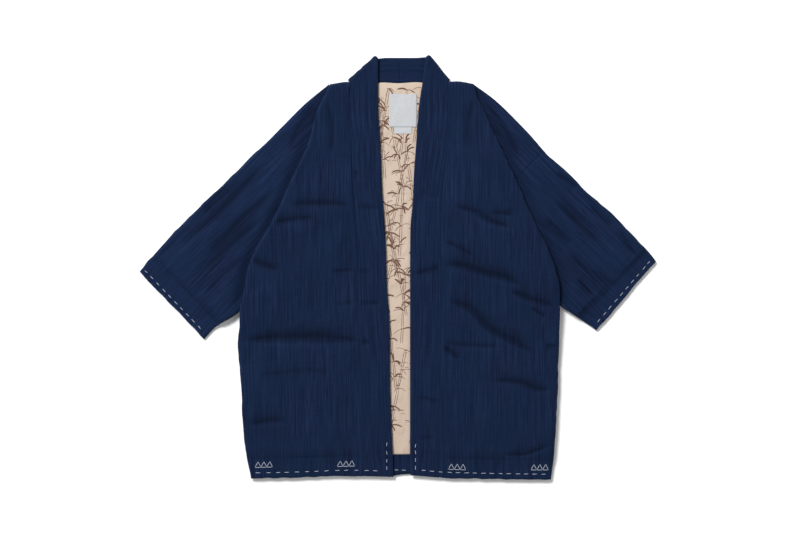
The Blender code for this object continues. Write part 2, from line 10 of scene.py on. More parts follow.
import bpy
import numpy as np
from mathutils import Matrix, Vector


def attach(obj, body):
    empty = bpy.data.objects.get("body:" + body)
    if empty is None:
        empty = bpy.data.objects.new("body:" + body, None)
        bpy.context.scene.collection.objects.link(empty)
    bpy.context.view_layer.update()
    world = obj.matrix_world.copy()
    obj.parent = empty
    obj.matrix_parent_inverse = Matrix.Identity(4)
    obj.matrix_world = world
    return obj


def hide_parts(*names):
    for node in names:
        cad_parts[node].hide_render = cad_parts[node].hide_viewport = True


bl_info = {
    "name": "Padded Kimono Jacket",
    "version": (1, 0, 0),
    "blender": (4, 5, 0),
    "location": "3D View > Sidebar > Jacket",
    "description": "Padded cotton, lining, labels and hand stitching for a kimono jacket laid flat",
    "category": "Add Mesh",
}

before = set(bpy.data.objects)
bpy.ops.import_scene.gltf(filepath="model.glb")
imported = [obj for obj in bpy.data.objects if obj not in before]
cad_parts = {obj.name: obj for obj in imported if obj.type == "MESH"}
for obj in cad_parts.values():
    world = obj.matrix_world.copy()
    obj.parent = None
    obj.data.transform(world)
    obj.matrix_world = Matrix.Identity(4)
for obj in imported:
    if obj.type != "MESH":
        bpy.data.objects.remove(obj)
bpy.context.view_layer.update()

MM = 0.001
LEFT, RIGHT = -1, 1

BACK_LOFT = 8.0
FRONT_LOFT = 9.0
COLLAR_LOFT = 7.0
ARM_LOFT = 15.0
ARM_TUCKED = 12.0
HEM_BACK_LOFT = 5.5
HEM_FRONT_LOFT = 5.5
CUFF_LOFT = 8.6
CLOTH = 1.0
SEAM_GAP = 0.3
LAYER_GAP = 0.4
HEM_BAND = 38.0
CUFF_BAND = 42.0
SLEEVE_GAP = 1.2
CUFF_MOUTH_GAP = 3.2
FACING_HEIGHT = 41.0
LINING_LEFT, LINING_RIGHT = -98.0, 100.0
LABEL_CENTRE_X = 9.0
LABEL_TOP_Y = 337.0
LABEL_WIDTH, LABEL_HEIGHT = 54.0, 64.5
SIZE_TAB_WIDTH, SIZE_TAB_HEIGHT = 35.0, 13.0
NECK_LOW = BACK_LOFT + SEAM_GAP + CLOTH + LAYER_GAP
CENTRE_BACK_X = 2.5
BACK_BAND_TOP = 408.0
NECK_SEAM_Y = 358.0
BACK_HEM_RISE = 2.0
BACK_SEAM_X = 4.0
BACK_INSET = 1.5
COLLAR_LEAVES_Y = 338
SLEEVE_WALL = 3.0
FRONT_GRID = (304, 104)
BACK_GRID = (132, 104)
SLEEVE_GRID = (122, 84)
COLLAR_GRID = (230, 34)
LINING_GRID = (84, 290)
FACING_GRID = (133, 40)
LABEL_GRID = (60, 70)
SIZE_TAB_GRID = (50, 24)
HEM_STITCH_RISE = 11.5
CUFF_STITCH_RISE = 9.3
FACING_SEAM_Y = -366.0
FACING_STITCH_RISE = 9.5
LABEL_STITCH_INSET = 2.2
LABEL_STITCH_PITCH = 2.6
ORNAMENTS = ((-261.9, -390.4, 0.03), (-102.0, -388.6, 0.03), (114.5, -395.0, -0.03), (275.3, -395.6, 0.0))
FACING_DASHES = ((-3.5, -396.2), (10.6, -396.6))
FRONT_DASHES = ((-22.4, (-345.5, -362.1, -377.9, -392.0)), (33.4, (-348.3, -361.1, -376.2, -391.5)))
FRONT_DASH_TILTS = (0.5, -0.7, 0.3, -0.2)
PRINT_AREA = (-92, 94, -358, 350)
CANES = (
    (-62, -340, 8), (-22, -352, 11), (22, -346, 14), (60, -330, -9), (-46, -120, 16), (16, -96, -12),
    (48, -150, 10), (-70, 60, 9), (-14, 70, 13), (34, 90, -8), (70, 40, 6), (-40, 210, 10), (4, 216, 6),
    (-4, -240, -6), (40, -220, 5), (-2, -20, -9), (24, -30, 12), (12, 150, -12), (30, 240, 9),
    (-12, -345, -4), (6, -150, 3), (2, 20, 4), (-26, 170, -3), (36, 300, -14),
)
FLOOR_DROP = 0.4
VIEW_WIDTH = 1.56
LENS, SENSOR = 85, 36
KEY_LIGHT = ("key", (-2.3, 3.2, 4.5), 2.2, 455)
FILL_LIGHT = ("fill", (3.6, -1.8, 4.0), 3.2, 30)
ROOM_LIGHT = 0.42

BodyRow = namedtuple("BodyRow", "y edge seam front")
LEFT_BODY = [
    BodyRow(-411, -288.0, -69.8, -9.4),
    BodyRow(-373, -296.0, -70.8, -10.3),
    BodyRow(-318, -302.8, -71.8, -13.3),
    BodyRow(-260, -305.8, -72.7, -15.2),
    BodyRow(-186, -309.7, -73.7, -16.2),
    BodyRow(-150, -312.4, -75.0, -16.2),
    BodyRow(-123, -310.0, -76.6, -16.6),
    BodyRow(-80, -307.0, -77.6, -19.1),
    BodyRow(-39, -299.0, -78.6, -22.0),
    BodyRow(-4, -293.0, -79.6, -23.0),
    BodyRow(31, -277.5, -80.5, -24.0),
    BodyRow(91, -242.4, -85.4, -26.9),
    BodyRow(158, -212.6, -90.3, -31.8),
    BodyRow(193, -196.8, -91.3, -32.8),
    BodyRow(238, -176.1, -92.2, -34.7),
    BodyRow(302, -158.1, -95.2, -38.6),
    BodyRow(356, -133.2, -96.1, -39.6),
]
RIGHT_BODY = [
    BodyRow(-413, 298.7, 79.4, 23.8),
    BodyRow(-373, 302.3, 79.4, 22.8),
    BodyRow(-318, 306.2, 80.3, 22.8),
    BodyRow(-260, 309.5, 81.3, 22.8),
    BodyRow(-182, 312.4, 82.7, 22.8),
    BodyRow(-127, 314.3, 83.3, 22.8),
    BodyRow(-74, 314.3, 83.3, 22.8),
    BodyRow(-36, 313.4, 83.3, 22.8),
    BodyRow(-8, 306.9, 83.3, 22.8),
    BodyRow(35, 291.1, 83.3, 23.0),
    BodyRow(80, 268.3, 83.3, 23.8),
    BodyRow(122, 249.0, 84.2, 27.7),
    BodyRow(185, 220.9, 90.1, 30.6),
    BodyRow(238, 196.4, 96.9, 34.5),
    BodyRow(290, 171.8, 98.1, 38.4),
    BodyRow(331, 154.2, 98.1, 43.0),
    BodyRow(357, 145.7, 98.1, 48.2),
]
BODY = {LEFT: LEFT_BODY, RIGHT: RIGHT_BODY}

Point = namedtuple("Point", "x y")
HEM = [
    Point(-290, -412.8), Point(-233, -412.2), Point(-172, -410.2), Point(-100, -407.8),
    Point(-55, -408.2), Point(-10, -409.6), Point(8, -407.0), Point(23, -406.3),
    Point(81, -411.0), Point(155, -413.3), Point(237, -414.8), Point(299, -415.6),
]
SHOULDER = [
    Point(-133, 355.9), Point(-96, 360.4), Point(-80, 358.4), Point(80, 358.4),
    Point(98, 360.4), Point(115, 361.5), Point(146, 356.5),
]
BACK_NECK = [
    Point(-133, 354.5), Point(-112, 355.5), Point(-96, 349.5), Point(-80, 347.0), Point(-60, 351.5),
    Point(-44, 356.8), Point(0, 357.0), Point(53, 356.8), Point(68, 351.5), Point(84, 347.0),
    Point(99, 349.5), Point(115, 355.5), Point(146, 355.0),
]

ArmRow = namedtuple("ArmRow", "along top low")
LEFT_ARM = [
    ArmRow(-152, -347.5, -334.0), ArmRow(-96, -353.1, -275.0), ArmRow(-30, -353.4, -204.0),
    ArmRow(18, -353.4, -153.0), ArmRow(45, -355.2, -130.0), ArmRow(104, -354.8, -135.5),
    ArmRow(189, -357.0, -145.5), ArmRow(239, -357.2, -152.3), ArmRow(287, -355.9, -158.7),
    ArmRow(318, -353.3, -165.2), ArmRow(334, -353.1, -168.4), ArmRow(364, -350.4, -169.0),
]
RIGHT_ARM = [
    ArmRow(-146, -355.5, -345.0), ArmRow(-102, -362.6, -296.0), ArmRow(-34, -364.4, -219.0),
    ArmRow(10, -363.0, -169.0), ArmRow(45, -360.3, -138.0), ArmRow(98, -364.0, -143.5),
    ArmRow(163, -363.8, -152.5), ArmRow(216, -367.4, -160.0), ArmRow(266, -367.5, -167.0),
    ArmRow(303, -366.0, -173.1), ArmRow(329, -364.7, -179.0), ArmRow(363, -360.7, -184.8),
]
ARM = {LEFT: LEFT_ARM, RIGHT: RIGHT_ARM}
ArmEnds = namedtuple("ArmEnds", "tuck_start tuck_top tuck_low armhole_top armhole_low cuff_top cuff_low")
ARM_ENDS = {
    LEFT: ArmEnds(-134.0, -156.0, -131.0, 20.0, 45.0, 363.6, 367.5),
    RIGHT: ArmEnds(-128.0, -149.5, -124.0, 40.5, 42.5, 347.8, 361.2),
}
BandEnd = namedtuple("BandEnd", "seam_x seam_y free_x free_y")
NECK_FOLD = {
    LEFT: BandEnd(-93.2, 358.0, -39.5, 406.6),
    RIGHT: BandEnd(95.2, 358.9, 53.7, 409.1),
}

Crease = namedtuple("Crease", "points depth width ridge")
"""A soft fold: the line of its trough, how deep and wide it is, and how high the cloth stands beside it.
A positive ridge stands on the left of the line as it runs, and a negative one on its right."""

CREASES = {
    "front_left": [
        Crease([(-309, -143), (-192, -139), (-92, -143), (-60, -147)], 3.0, 10, -0.9),
        Crease([(-215, 122), (-116, 122), (-84, 118)], 1.5, 8, -0.7),
        Crease([(-246, 85), (-200, 92), (-159, 95)], 1.5, 8, -0.6),
        Crease([(-130, -10), (-84, -6)], 1.0, 6, 0.6),
        Crease([(-130, -75), (-80, -70)], 0.8, 6, -0.6),
        Crease([(-293, -308), (-242, -299), (-215, -301)], 1.4, 7, -0.7),
        Crease([(-290, 20), (-262, 4), (-225, -8)], 1.4, 8, -0.6),
        Crease([(-285, -215), (-180, -203), (-110, -208)], 0.7, 12, 0.7),
        Crease([(-140, 330), (-128, 270), (-132, 210)], 1.1, 9, 0.8),
    ],
    "front_right": [
        Crease([(86, 2), (100, 4), (171, -14), (214, -24), (247, -39)], 2.8, 8, -1.0),
        Crease([(214, -45), (256, -63), (306, -78)], 2.2, 7, -0.9),
        Crease([(100, 118), (118, 115), (153, 105), (179, 89), (228, 74)], 1.9, 7, -0.8),
        Crease([(179, 105), (228, 101)], 1.2, 6, -0.7),
        Crease([(86, 52), (114, 39), (152, 17)], 1.2, 7, -0.6),
        Crease([(90, -62), (140, -82), (175, -119), (222, -145), (276, -174)], 2.7, 8, -1.0),
        Crease([(86, -154), (99, -164), (120, -182)], 1.8, 6, -0.8),
        Crease([(87, -149), (146, -154), (214, -156)], 1.0, 7, -0.6),
        Crease([(257, -80), (290, -100)], 1.6, 6, -0.7),
        Crease([(179, -221), (243, -227), (269, -238), (306, -238)], 1.6, 8, -0.8),
        Crease([(286, -154), (309, -154)], 1.4, 6, 0.8),
        Crease([(200, -366), (251, -364), (282, -352), (301, -345)], 1.3, 6, -0.8),
        Crease([(150, 335), (136, 275), (140, 215)], 1.0, 9, 0.8),
    ],
    "collar_left": [
        Crease([(-92, -145), (-50, -148)], 1.4, 7, -0.8),
        Crease([(-85, -8), (-49, -10)], 0.8, 5, 0.6),
        Crease([(-82, -71), (-32, -71)], 0.9, 5, 0.6),
        Crease([(-95, 187), (-72, 178)], 0.9, 5, 0.8),
        Crease([(-84, 118), (-32, 114)], 0.8, 6, 0.7),
    ],
    "collar_right": [
        Crease([(31, -14), (60, -6), (88, 2)], 1.5, 6, 0.9),
        Crease([(35, -254), (54, -256), (84, -265)], 1.0, 5, 0.8),
        Crease([(40, -334), (72, -332)], 0.8, 5, 0.6),
        Crease([(40, 150), (84, 132)], 0.6, 6, 0.6),
    ],
    "sleeve_left": [
        Crease([(-250, 205), (-340, 118), (-430, 30)], 1.3, 11, 0.8),
        Crease([(-232, 160), (-300, 95), (-385, 10)], 1.5, 12, -0.7),
        Crease([(-262, 100), (-330, 38), (-400, -30)], 1.1, 12, 0.8),
        Crease([(-300, 20), (-350, -25), (-380, -60)], 1.0, 10, 0.7),
        Crease([(-330, 170), (-372, 112), (-385, 95)], 0.9, 8, -0.6),
    ],
    "sleeve_right": [
        Crease([(300, 134), (319, 115), (399, 39)], 1.6, 8, -0.9),
        Crease([(284, 97), (311, 70), (345, 40)], 1.4, 7, 0.8),
        Crease([(347, -22), (382, -61)], 1.3, 7, -0.8),
        Crease([(306, 185), (354, 154)], 1.5, 6, 0.8),
        Crease([(372, 118), (420, 74)], 1.1, 7, -0.7),
        Crease([(330, 30), (372, -6), (430, -40)], 1.1, 10, 0.7),
        Crease([(430, 74), (462, 20)], 0.9, 8, 0.7),
    ],
    "tuck_left": [Crease([(-160, 322), (-200, 262), (-214, 216)], 1.3, 9, -0.7)],
    "tuck_right": [Crease([(170, 322), (212, 262), (240, 205)], 1.3, 9, 0.7)],
    "back_under": [
        Crease([(-300, -120), (-150, -135), (20, -110)], 1.0, 10, 0),
        Crease([(290, -70), (190, -110), (90, -105)], 1.1, 9, 0),
        Crease([(-230, 90), (-120, 60), (10, 72)], 0.9, 11, 0),
        Crease([(210, 150), (120, 110), (60, 120)], 1.0, 9, 0),
        Crease([(-270, -300), (-190, -285)], 0.8, 8, 0),
        Crease([(150, -300), (250, -280), (295, -290)], 0.9, 9, 0),
        Crease([(-60, 300), (-90, 220), (-85, 170)], 0.8, 9, 0),
    ],
    "lining": [
        Crease([(-12, 240), (2, 216), (28, 205)], 0.7, 4, 0.9),
        Crease([(-30, 130), (-5, 142), (24, 138)], 0.6, 4, 0.9),
        Crease([(-22, 30), (4, 18), (22, 24)], 0.6, 5, 0.9),
        Crease([(-18, -60), (10, -52), (20, -66)], 0.7, 4, 0.9),
        Crease([(9, -168), (13, -240), (18, -350)], 0.9, 3, 0.9),
        Crease([(-14, -190), (2, -206), (20, -200)], 0.6, 4, 0.8),
        Crease([(-12, -318), (4, -332), (20, -326)], 0.6, 4, 0.8),
    ],
}


def through(knots, values, at):
    """The smooth curve through a table's points: cubic pieces that keep the table's own slopes."""
    knots, values = np.asarray(knots, float), np.asarray(values, float)
    slopes = np.gradient(values, knots)
    at = np.asarray(at, float)
    i = np.clip(np.searchsorted(knots, at) - 1, 0, len(knots) - 2)
    span = knots[i + 1] - knots[i]
    t = np.clip((at - knots[i]) / span, 0, 1)
    start = values[i] * (1 + 2 * t) * (1 - t) ** 2 + slopes[i] * span * t * (1 - t) ** 2
    return start + values[i + 1] * t**2 * (3 - 2 * t) + slopes[i + 1] * span * t**2 * (t - 1)


def smooth_line(share, knots, at):
    """Places on the smooth line through knots in plan."""
    return np.stack([through(share, knots[:, axis], at) for axis in (0, 1)], -1)


def ease(value, start, end):
    """0 before start, 1 after end, and the cubic S between them."""
    t = np.clip((value - start) / (end - start), 0, 1)
    return t * t * (3 - 2 * t)


def round_in(distance, reach):
    """A quarter ellipse: 0 on an edge, and 1 from reach inwards."""
    t = np.clip(distance / reach, 0, 1)
    return np.sqrt(1 - (1 - t) ** 2)


def column(rows, name):
    return [getattr(row, name) for row in rows]


def body_x(side, name, y):
    rows = BODY[side]
    return through(column(rows, "y"), column(rows, name), y)


def level(table, x):
    return through(column(table, "x"), column(table, "y"), x)


def arm_point(side, along, across):
    """A place in plan from a place on the arm, whose axis runs down and out at 45 degrees."""
    half = np.sqrt(0.5)
    return side * half * (along - across), -half * (along + across)


def arm_place(side, x, y):
    """How far along and across an arm a point of the plan is."""
    half = np.sqrt(0.5)
    return half * (side * x - y), -half * (side * x + y)


def arm_edge(side, name, along):
    return through(column(ARM[side], "along"), column(ARM[side], name), along)


def depth_in_body(side, x, y):
    """How far a point lies inside the body's folded edge, square to that edge."""
    slope = (body_x(side, "edge", y + 10) - body_x(side, "edge", y - 10)) / 20
    return side * (body_x(side, "edge", y) - x) / np.sqrt(1 + slope**2)


def in_hem_band(y, hem):
    return 1 - ease(y - hem, HEM_BAND - 14, HEM_BAND + 22)


def back_top(x, y):
    """The back's upper face: flat, thinner at the hem, lower along its outer edges and the neck."""
    loft = BACK_LOFT + (HEM_BACK_LOFT - BACK_LOFT) * in_hem_band(y, level(HEM, x))
    depth = np.where(x < 0, depth_in_body(LEFT, x, y), depth_in_body(RIGHT, x, y))
    edge = np.minimum(depth, (level(BACK_NECK, x) - y) * 2)
    return loft - 2.0 * (1 - round_in(edge, 12.0)) - 0.8 * (1 - round_in(y - level(HEM, x), 5.0))


def inside_top(x, y):
    """The upper face of the lining and the facing, run on past their edges."""
    thin = in_hem_band(y, level(HEM, x))
    return BACK_LOFT + (HEM_BACK_LOFT - BACK_LOFT) * thin + SEAM_GAP + CLOTH


def over_arm(side, x, y):
    """1 where a front lies over its arm, easing to 0 past the arm's lower edge and at the shoulder."""
    along, across = arm_place(side, x, y)
    inner = arm_edge(side, "low", along) - across
    return ease(inner, -90, 4) * ease(level(SHOULDER, x) - y, -4, 12)


def arm_loft(side, x, y, along):
    """Both layers of an arm: full where free, pressed and tapering under the front, thin at the cuff."""
    ends = ARM_ENDS[side]
    free = 1 - ease(depth_in_body(side, x, y), -45, -2)
    inner = arm_edge(side, "low", along) - arm_place(side, x, y)[1]
    tucked = ARM_TUCKED * (0.5 + 0.5 * ease(inner, 0, 120))
    loft = tucked + (ARM_LOFT - tucked) * free
    loft = 3.0 + (loft - 3.0) * ease(along, ends.tuck_start, ends.tuck_start + 120)
    cuff = ease(along, ends.cuff_low - CUFF_BAND - 10, ends.cuff_low - CUFF_BAND + 6)
    return loft + (CUFF_LOFT - loft) * cuff


def arm_rest(side, x, y):
    return (BACK_LOFT + LAYER_GAP) * ease(depth_in_body(side, x, y), -58, -13)


def front_rest(side, x, y):
    """A front's under face: over the lining, draped over the arm, and down at the shoulder and side."""
    along = arm_place(side, x, y)[0]
    arm_top = BACK_LOFT + LAYER_GAP + arm_loft(side, x, y, along) + 3 * LAYER_GAP
    lining_top = inside_top(x, y) + LAYER_GAP
    depth = depth_in_body(side, x, y)
    meet = 1 - round_in(np.minimum(depth, (level(SHOULDER, x) - y) * 1.5), 16.0)
    seam_side = lining_top - (lining_top - back_top(x, y) - 2 * LAYER_GAP) * meet
    fold_side = arm_top + 0.8 * (1 - round_in(depth, 9.0))
    return seam_side + (fold_side - seam_side) * over_arm(side, x, y)


def noise(u, v, seed):
    """Smooth value noise from -1 to 1: seeded numbers on a unit lattice, eased between its corners."""
    table = np.random.default_rng(seed).uniform(-1, 1, (97, 97))
    i, j = np.floor(u).astype(int), np.floor(v).astype(int)
    s, t = u - i, v - j
    s, t = s * s * (3 - 2 * s), t * t * (3 - 2 * t)
    a, b = table[i % 97, j % 97], table[(i + 1) % 97, j % 97]
    c, d = table[i % 97, (j + 1) % 97], table[(i + 1) % 97, (j + 1) % 97]
    return (a + (b - a) * s) * (1 - t) + (c + (d - c) * s) * t


def line_noise(run, pitch, seed):
    """The same noise along a line."""
    return noise(run / pitch, 0 * run, seed)


def puff(x, y, seed):
    """How far padding swells and sinks: broad noise for the filling, and finer noise for limp cloth."""
    turned_x, turned_y = x * 0.8 + y * 0.6, y * 0.8 - x * 0.6
    broad = noise(x / 66, y / 84, seed) * 0.9 + noise(turned_x / 34, turned_y / 27, seed + 1) * 0.75
    return broad + noise(turned_x / 15, turned_y / 12, seed + 2) * 0.3 + noise(x / 6, y / 7, seed + 3) * 0.09


def nearest_on(line, x, y):
    """How far points are from a line, on which side of it (-1 or 1), and how far along it (0 to 1)."""
    best = np.full(x.shape, 1e9)
    sign = np.ones_like(x)
    place = np.zeros_like(x)
    for k in range(len(line) - 1):
        run = line[k + 1] - line[k]
        reach = np.hypot(*run)
        away_x, away_y = x - line[k, 0], y - line[k, 1]
        t = (away_x * run[0] + away_y * run[1]) / reach**2
        near = np.clip(t, 0, 1)
        distance = np.hypot(away_x - near * run[0], away_y - near * run[1])
        closer = distance < best
        best = np.where(closer, distance, best)
        sign = np.where(closer, np.sign(run[0] * away_y - run[1] * away_x), sign)
        place = np.where(closer, (k + near) / (len(line) - 1), place)
    return best, sign, place


def crease_height(name, x, y):
    """The creases of a piece: across each line a narrow groove lies in a wider slope, which is longer on
    one side, and a low bell stands on the other. Along the line all of it eases in and out."""
    height = np.zeros_like(x)
    for number, crease in enumerate(CREASES.get(name, ())):
        knots = np.array(crease.points, float)
        share = np.concatenate([[0], np.cumsum(np.hypot(*np.diff(knots, axis=0).T))])
        best, sign, place = nearest_on(smooth_line(share, knots, np.linspace(0, share[-1], 14)), x, y)
        wander = 1 + 0.25 * noise(x / 23, y / 23, 300 + number)
        width = crease.width * wander
        ends = ease(place, 0, 0.26) * (1 - ease(place, 0.72, 1.0)) * 0.96 + 0.04
        beside = best * sign * np.sign(crease.ridge or 1)
        groove = np.exp(0.2 - np.sqrt((best / (0.4 * width)) ** 2 + 0.04))
        slope = np.exp(0.2 - np.sqrt((best / np.where(beside < 0, 1.5 * width, 0.65 * width)) ** 2 + 0.04))
        ridge = abs(crease.ridge) * 0.4 * np.exp(-(((beside - 2.4 * width) / (1.6 * width)) ** 2))
        height += crease.depth * ends * (ridge - groove * 1.5 - slope * 1.9)
    return height


def hold_up(height, most):
    """Eases how far a surface sinks, so that no crease cuts deeper than the padding allows."""
    return np.where(height < 0, -most * np.tanh(-height / most), height)


def crease_shade_and_wear_mark(creases, edge):
    """Down to -1 in a crease, where painted shade darkens the cloth, and up to 1 along an edge, where it rubs
    pale with wear.
    """
    return np.clip(creases / 4.0, -1, 0.15) + 0.9 * np.exp(-((np.maximum(edge, 0) / 2.6) ** 2))


def painted_fold_shadow(side, depth):
    """How much painted shadow darkens a sleeve beside the fold of the front that covers it: a bell across the
    fold.
    """
    return 0.62 * np.exp(-(((depth + 2.0) / (13.0 if side == LEFT else 19.0)) ** 2))


def pucker(distance, along, seed, reach=9.0, size=0.42, pitch=6.5):
    """Ripples that a seam gathers: they run square to it, uneven in length, and fade away from it."""
    length = reach * (1.0 + 0.6 * line_noise(along, 17, seed + 5))
    return size * np.exp(-((distance / length) ** 2)) * noise(along / pitch, distance / 30, seed)


def hem_wave(x):
    """How far the hem's edge wanders as its stitches pull it in and let it out."""
    return 0.9 * line_noise(x, 15, 91) + 0.7 * line_noise(x, 33, 92) + 0.25 * line_noise(x, 6, 93)


def edge_wave(run, seed):
    """How far a folded edge wanders in and out along its run."""
    return line_noise(run, 37, seed) + 0.6 * line_noise(run, 13, seed + 1)


def seam_dip(distance, depth, width):
    """The valley along a line of sewing."""
    return depth * np.exp(-((distance / width) ** 2))


def panel_edge(distance, loft):
    """The share of a padded panel's loft at a distance from its sewn edge: a half round."""
    return round_in(distance, loft * 0.75)


def spread(width, middle):
    """Places across a width, crowded at both edges so that they turn smoothly, and even between."""
    edge = np.array([0.0, 0.15, 0.6, 1.4, 2.6, 4.2, 6.4, 9.2])
    inner = np.linspace(edge[-1], width - edge[-1], middle)[1:-1]
    return np.concatenate([edge, inner, width - edge[::-1]])


def grid_faces(rows, columns, first=0, turn=False):
    i, j = np.meshgrid(np.arange(rows - 1), np.arange(columns - 1), indexing="ij")
    corner = first + i * columns + j
    quads = np.stack([corner, corner + 1, corner + columns + 1, corner + columns], -1).reshape(-1, 4)
    return quads[:, ::-1] if turn else quads


def closed_slab(top, low, uv):
    """Points, faces and cloth coordinates of a slab: its upper and under grids, and the rim between."""
    rows, columns = top.shape[:2]
    numbers = np.arange(rows * columns).reshape(rows, columns)
    rim = np.concatenate([numbers[0], numbers[1:, -1], numbers[-1, -2::-1], numbers[-2:0:-1, 0]])
    after, under = np.roll(rim, -1), rows * columns
    faces = [
        grid_faces(rows, columns),
        grid_faces(rows, columns, under, True),
        np.stack([rim, rim + under, after + under, after], -1),
    ]
    points = np.concatenate([top.reshape(-1, 3), low.reshape(-1, 3)])
    uv = np.concatenate([uv.reshape(-1, uv.shape[-1])] * 2)
    return points, np.concatenate(faces), uv


def closed_tube(outer, inner, uv_outer, uv_inner):
    """Points, faces and cloth coordinates of a tube: outer and inner rings, and a wall at both ends."""
    rows, count = outer.shape[:2]
    i, j = np.meshgrid(np.arange(rows - 1), np.arange(count), indexing="ij")
    here, after = i * count, (j + 1) % count
    ring = np.stack([here + j, here + after, here + count + after, here + count + j], -1).reshape(-1, 4)
    under = rows * count
    j = np.arange(count)
    after = (j + 1) % count
    start = np.stack([j, j + under, after + under, after], -1)
    last = (rows - 1) * count
    end = np.stack([last + j, last + after, last + after + under, last + j + under], -1)
    points = np.concatenate([outer.reshape(-1, 3), inner.reshape(-1, 3)])
    uv = np.concatenate([uv_outer.reshape(-1, uv_outer.shape[-1]), uv_inner.reshape(-1, uv_inner.shape[-1])])
    return points, np.concatenate([ring, ring[:, ::-1] + under, start, end]), uv


def add_piece(name, points, faces, uv, finish):
    """A mesh object of one closed surface of quads that face outwards. The cloth's own coordinates in
    metres are its UV map, and a third column is a mark of painted shade below 0 and of wear above 0."""
    mesh = bpy.data.meshes.new(name)
    faces = np.asarray(faces, np.int32)
    volume = 0.0
    for corners in (0, 1, 2), (0, 2, 3):
        a, b, c = (points[faces[:, corner]] for corner in corners)
        volume += np.einsum("ij,ij->i", a, np.cross(b, c)).sum()
    if volume < 0:
        faces = faces[:, ::-1]
    mesh.vertices.add(len(points))
    mesh.vertices.foreach_set("co", (np.asarray(points) * MM).ravel())
    mesh.loops.add(faces.size)
    mesh.loops.foreach_set("vertex_index", faces.ravel())
    mesh.polygons.add(len(faces))
    mesh.polygons.foreach_set("loop_start", np.arange(0, faces.size, faces.shape[1], dtype=np.int32))
    mesh.update(calc_edges=True)
    mesh.uv_layers.new(name="cloth").data.foreach_set("uv", (uv[faces.ravel(), :2] * MM).ravel())
    if uv.shape[1] > 2:
        # the third column as an attribute: painted shade in creases and beside folds where negative, edge wear
        # where positive
        mesh.attributes.new("wear", "FLOAT", "POINT").data.foreach_set("value", uv[:, 2].astype(np.float32))
    mesh.shade_smooth()
    mesh.materials.append(finish)
    piece = bpy.data.objects.new(name, mesh)
    bpy.context.scene.collection.objects.link(piece)
    return piece


def dress(piece, nodes):
    """Puts a new piece in place of the solids that it stands for."""
    if nodes:
        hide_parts(*nodes)
    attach(piece, "root")


def side_name(side, word):
    return f"{word}_{'left' if side == LEFT else 'right'}"


def level_shares(count):
    """Shares of the way from hem to shoulder, crowded at both ends."""
    length = SHOULDER[0].y - HEM[0].y
    return spread(length, count) / length


def panel_plan(left_x, right_x, shares, middle, top_table):
    """A panel's plan: rows between its two edges, and levels from the hem's curve to its top's curve."""
    levels = HEM[0].y + shares * (SHOULDER[0].y - HEM[0].y)
    left, right = left_x(levels), right_x(levels)
    unit = spread(210.0, middle) / 210.0
    x = left[:, None] + unit * (right - left)[:, None]
    low, high = level(HEM, x), level(top_table, x)
    return x, low + shares[:, None] * (high - low)


def front_surfaces(side):
    """A front's grids. The under face is the drape over what it lies on. The upper face is the under
    face plus the padding: a half round at its edges, dipped at the band's seam, swelled by the filling,
    creased along the named folds and rippled along every seam."""
    shares = level_shares(FRONT_GRID[0])
    edge_x = lambda y: body_x(side, "edge", y)
    neck = 1.15 * (NECK_FOLD[side].seam_x - body_x(side, "seam", 358))
    seam_x = lambda y: body_x(side, "seam", y) + neck * ease(y, 336, 358)
    left_x, right_x = (edge_x, seam_x) if side == LEFT else (seam_x, edge_x)
    x, y = panel_plan(left_x, right_x, shares, FRONT_GRID[1], SHOULDER)
    hem, top = level(HEM, x), level(SHOULDER, x)
    from_hem, from_top = y - hem, top - y
    from_seam = np.abs(x - body_x(side, "seam", y))
    depth = depth_in_body(side, x, y)
    full = FRONT_LOFT - 2.0 * (1 - ease(from_seam, 0, 45))
    full = full + (HEM_FRONT_LOFT - full) * in_hem_band(y, hem)
    low = front_rest(side, x, y)

    fold = over_arm(side, x, y)
    inside = ease(np.minimum(np.minimum(depth, from_seam), np.minimum(from_hem, from_top)), 1, 16)
    seed = 11 if side == LEFT else 41
    creases = crease_height(side_name(side, "front"), x, y)
    detail = puff(x, y, seed) + creases
    detail += pucker(from_seam, y, seed + 3) + pucker(np.abs(from_hem - HEM_BAND), x, seed + 4, 7.0, 0.34)
    detail += pucker(depth, y, seed + 5, 12.0, 0.5, 9.0) * (1 - fold)
    detail += pucker(from_top, x, seed + 6, 12.0, 0.45, 8.0)
    detail += pucker(np.abs(from_hem - HEM_STITCH_RISE), x, seed + 7, 5.0, 0.3, 9.0)
    detail -= seam_dip(from_hem - HEM_BAND, 1.5, 2.6) * (0.75 + 0.5 * noise(x / 45, y / 45, seed + 9))
    detail -= seam_dip(from_hem - HEM_STITCH_RISE, 0.5, 2.4)
    detail = hold_up(detail, full * 0.72)
    edge = np.minimum(depth, np.minimum(from_hem, from_top))
    shape = panel_edge(edge, full) * (0.9 + 0.1 * round_in(from_seam, 4.0))
    middle = low + full * 0.42
    above = middle + (full * 0.58) * shape + detail * inside
    below = low + (full * 0.42) * (1 - round_in(edge, 3.2))
    below = np.minimum(below, above - 0.25)
    # third column: painted shade in the creases, and wear along the edges
    uv = np.stack([x, y, crease_shade_and_wear_mark(creases, edge)], -1)
    y = y + hem_wave(x) * (1 - ease(from_hem, 0, 24))
    x = x + side * edge_wave(y, seed + 8) * (1 - ease(depth, 0, 26)) * ease(from_top, 0, 30)
    return np.stack([x, y, above], -1), np.stack([x, y, below], -1), uv


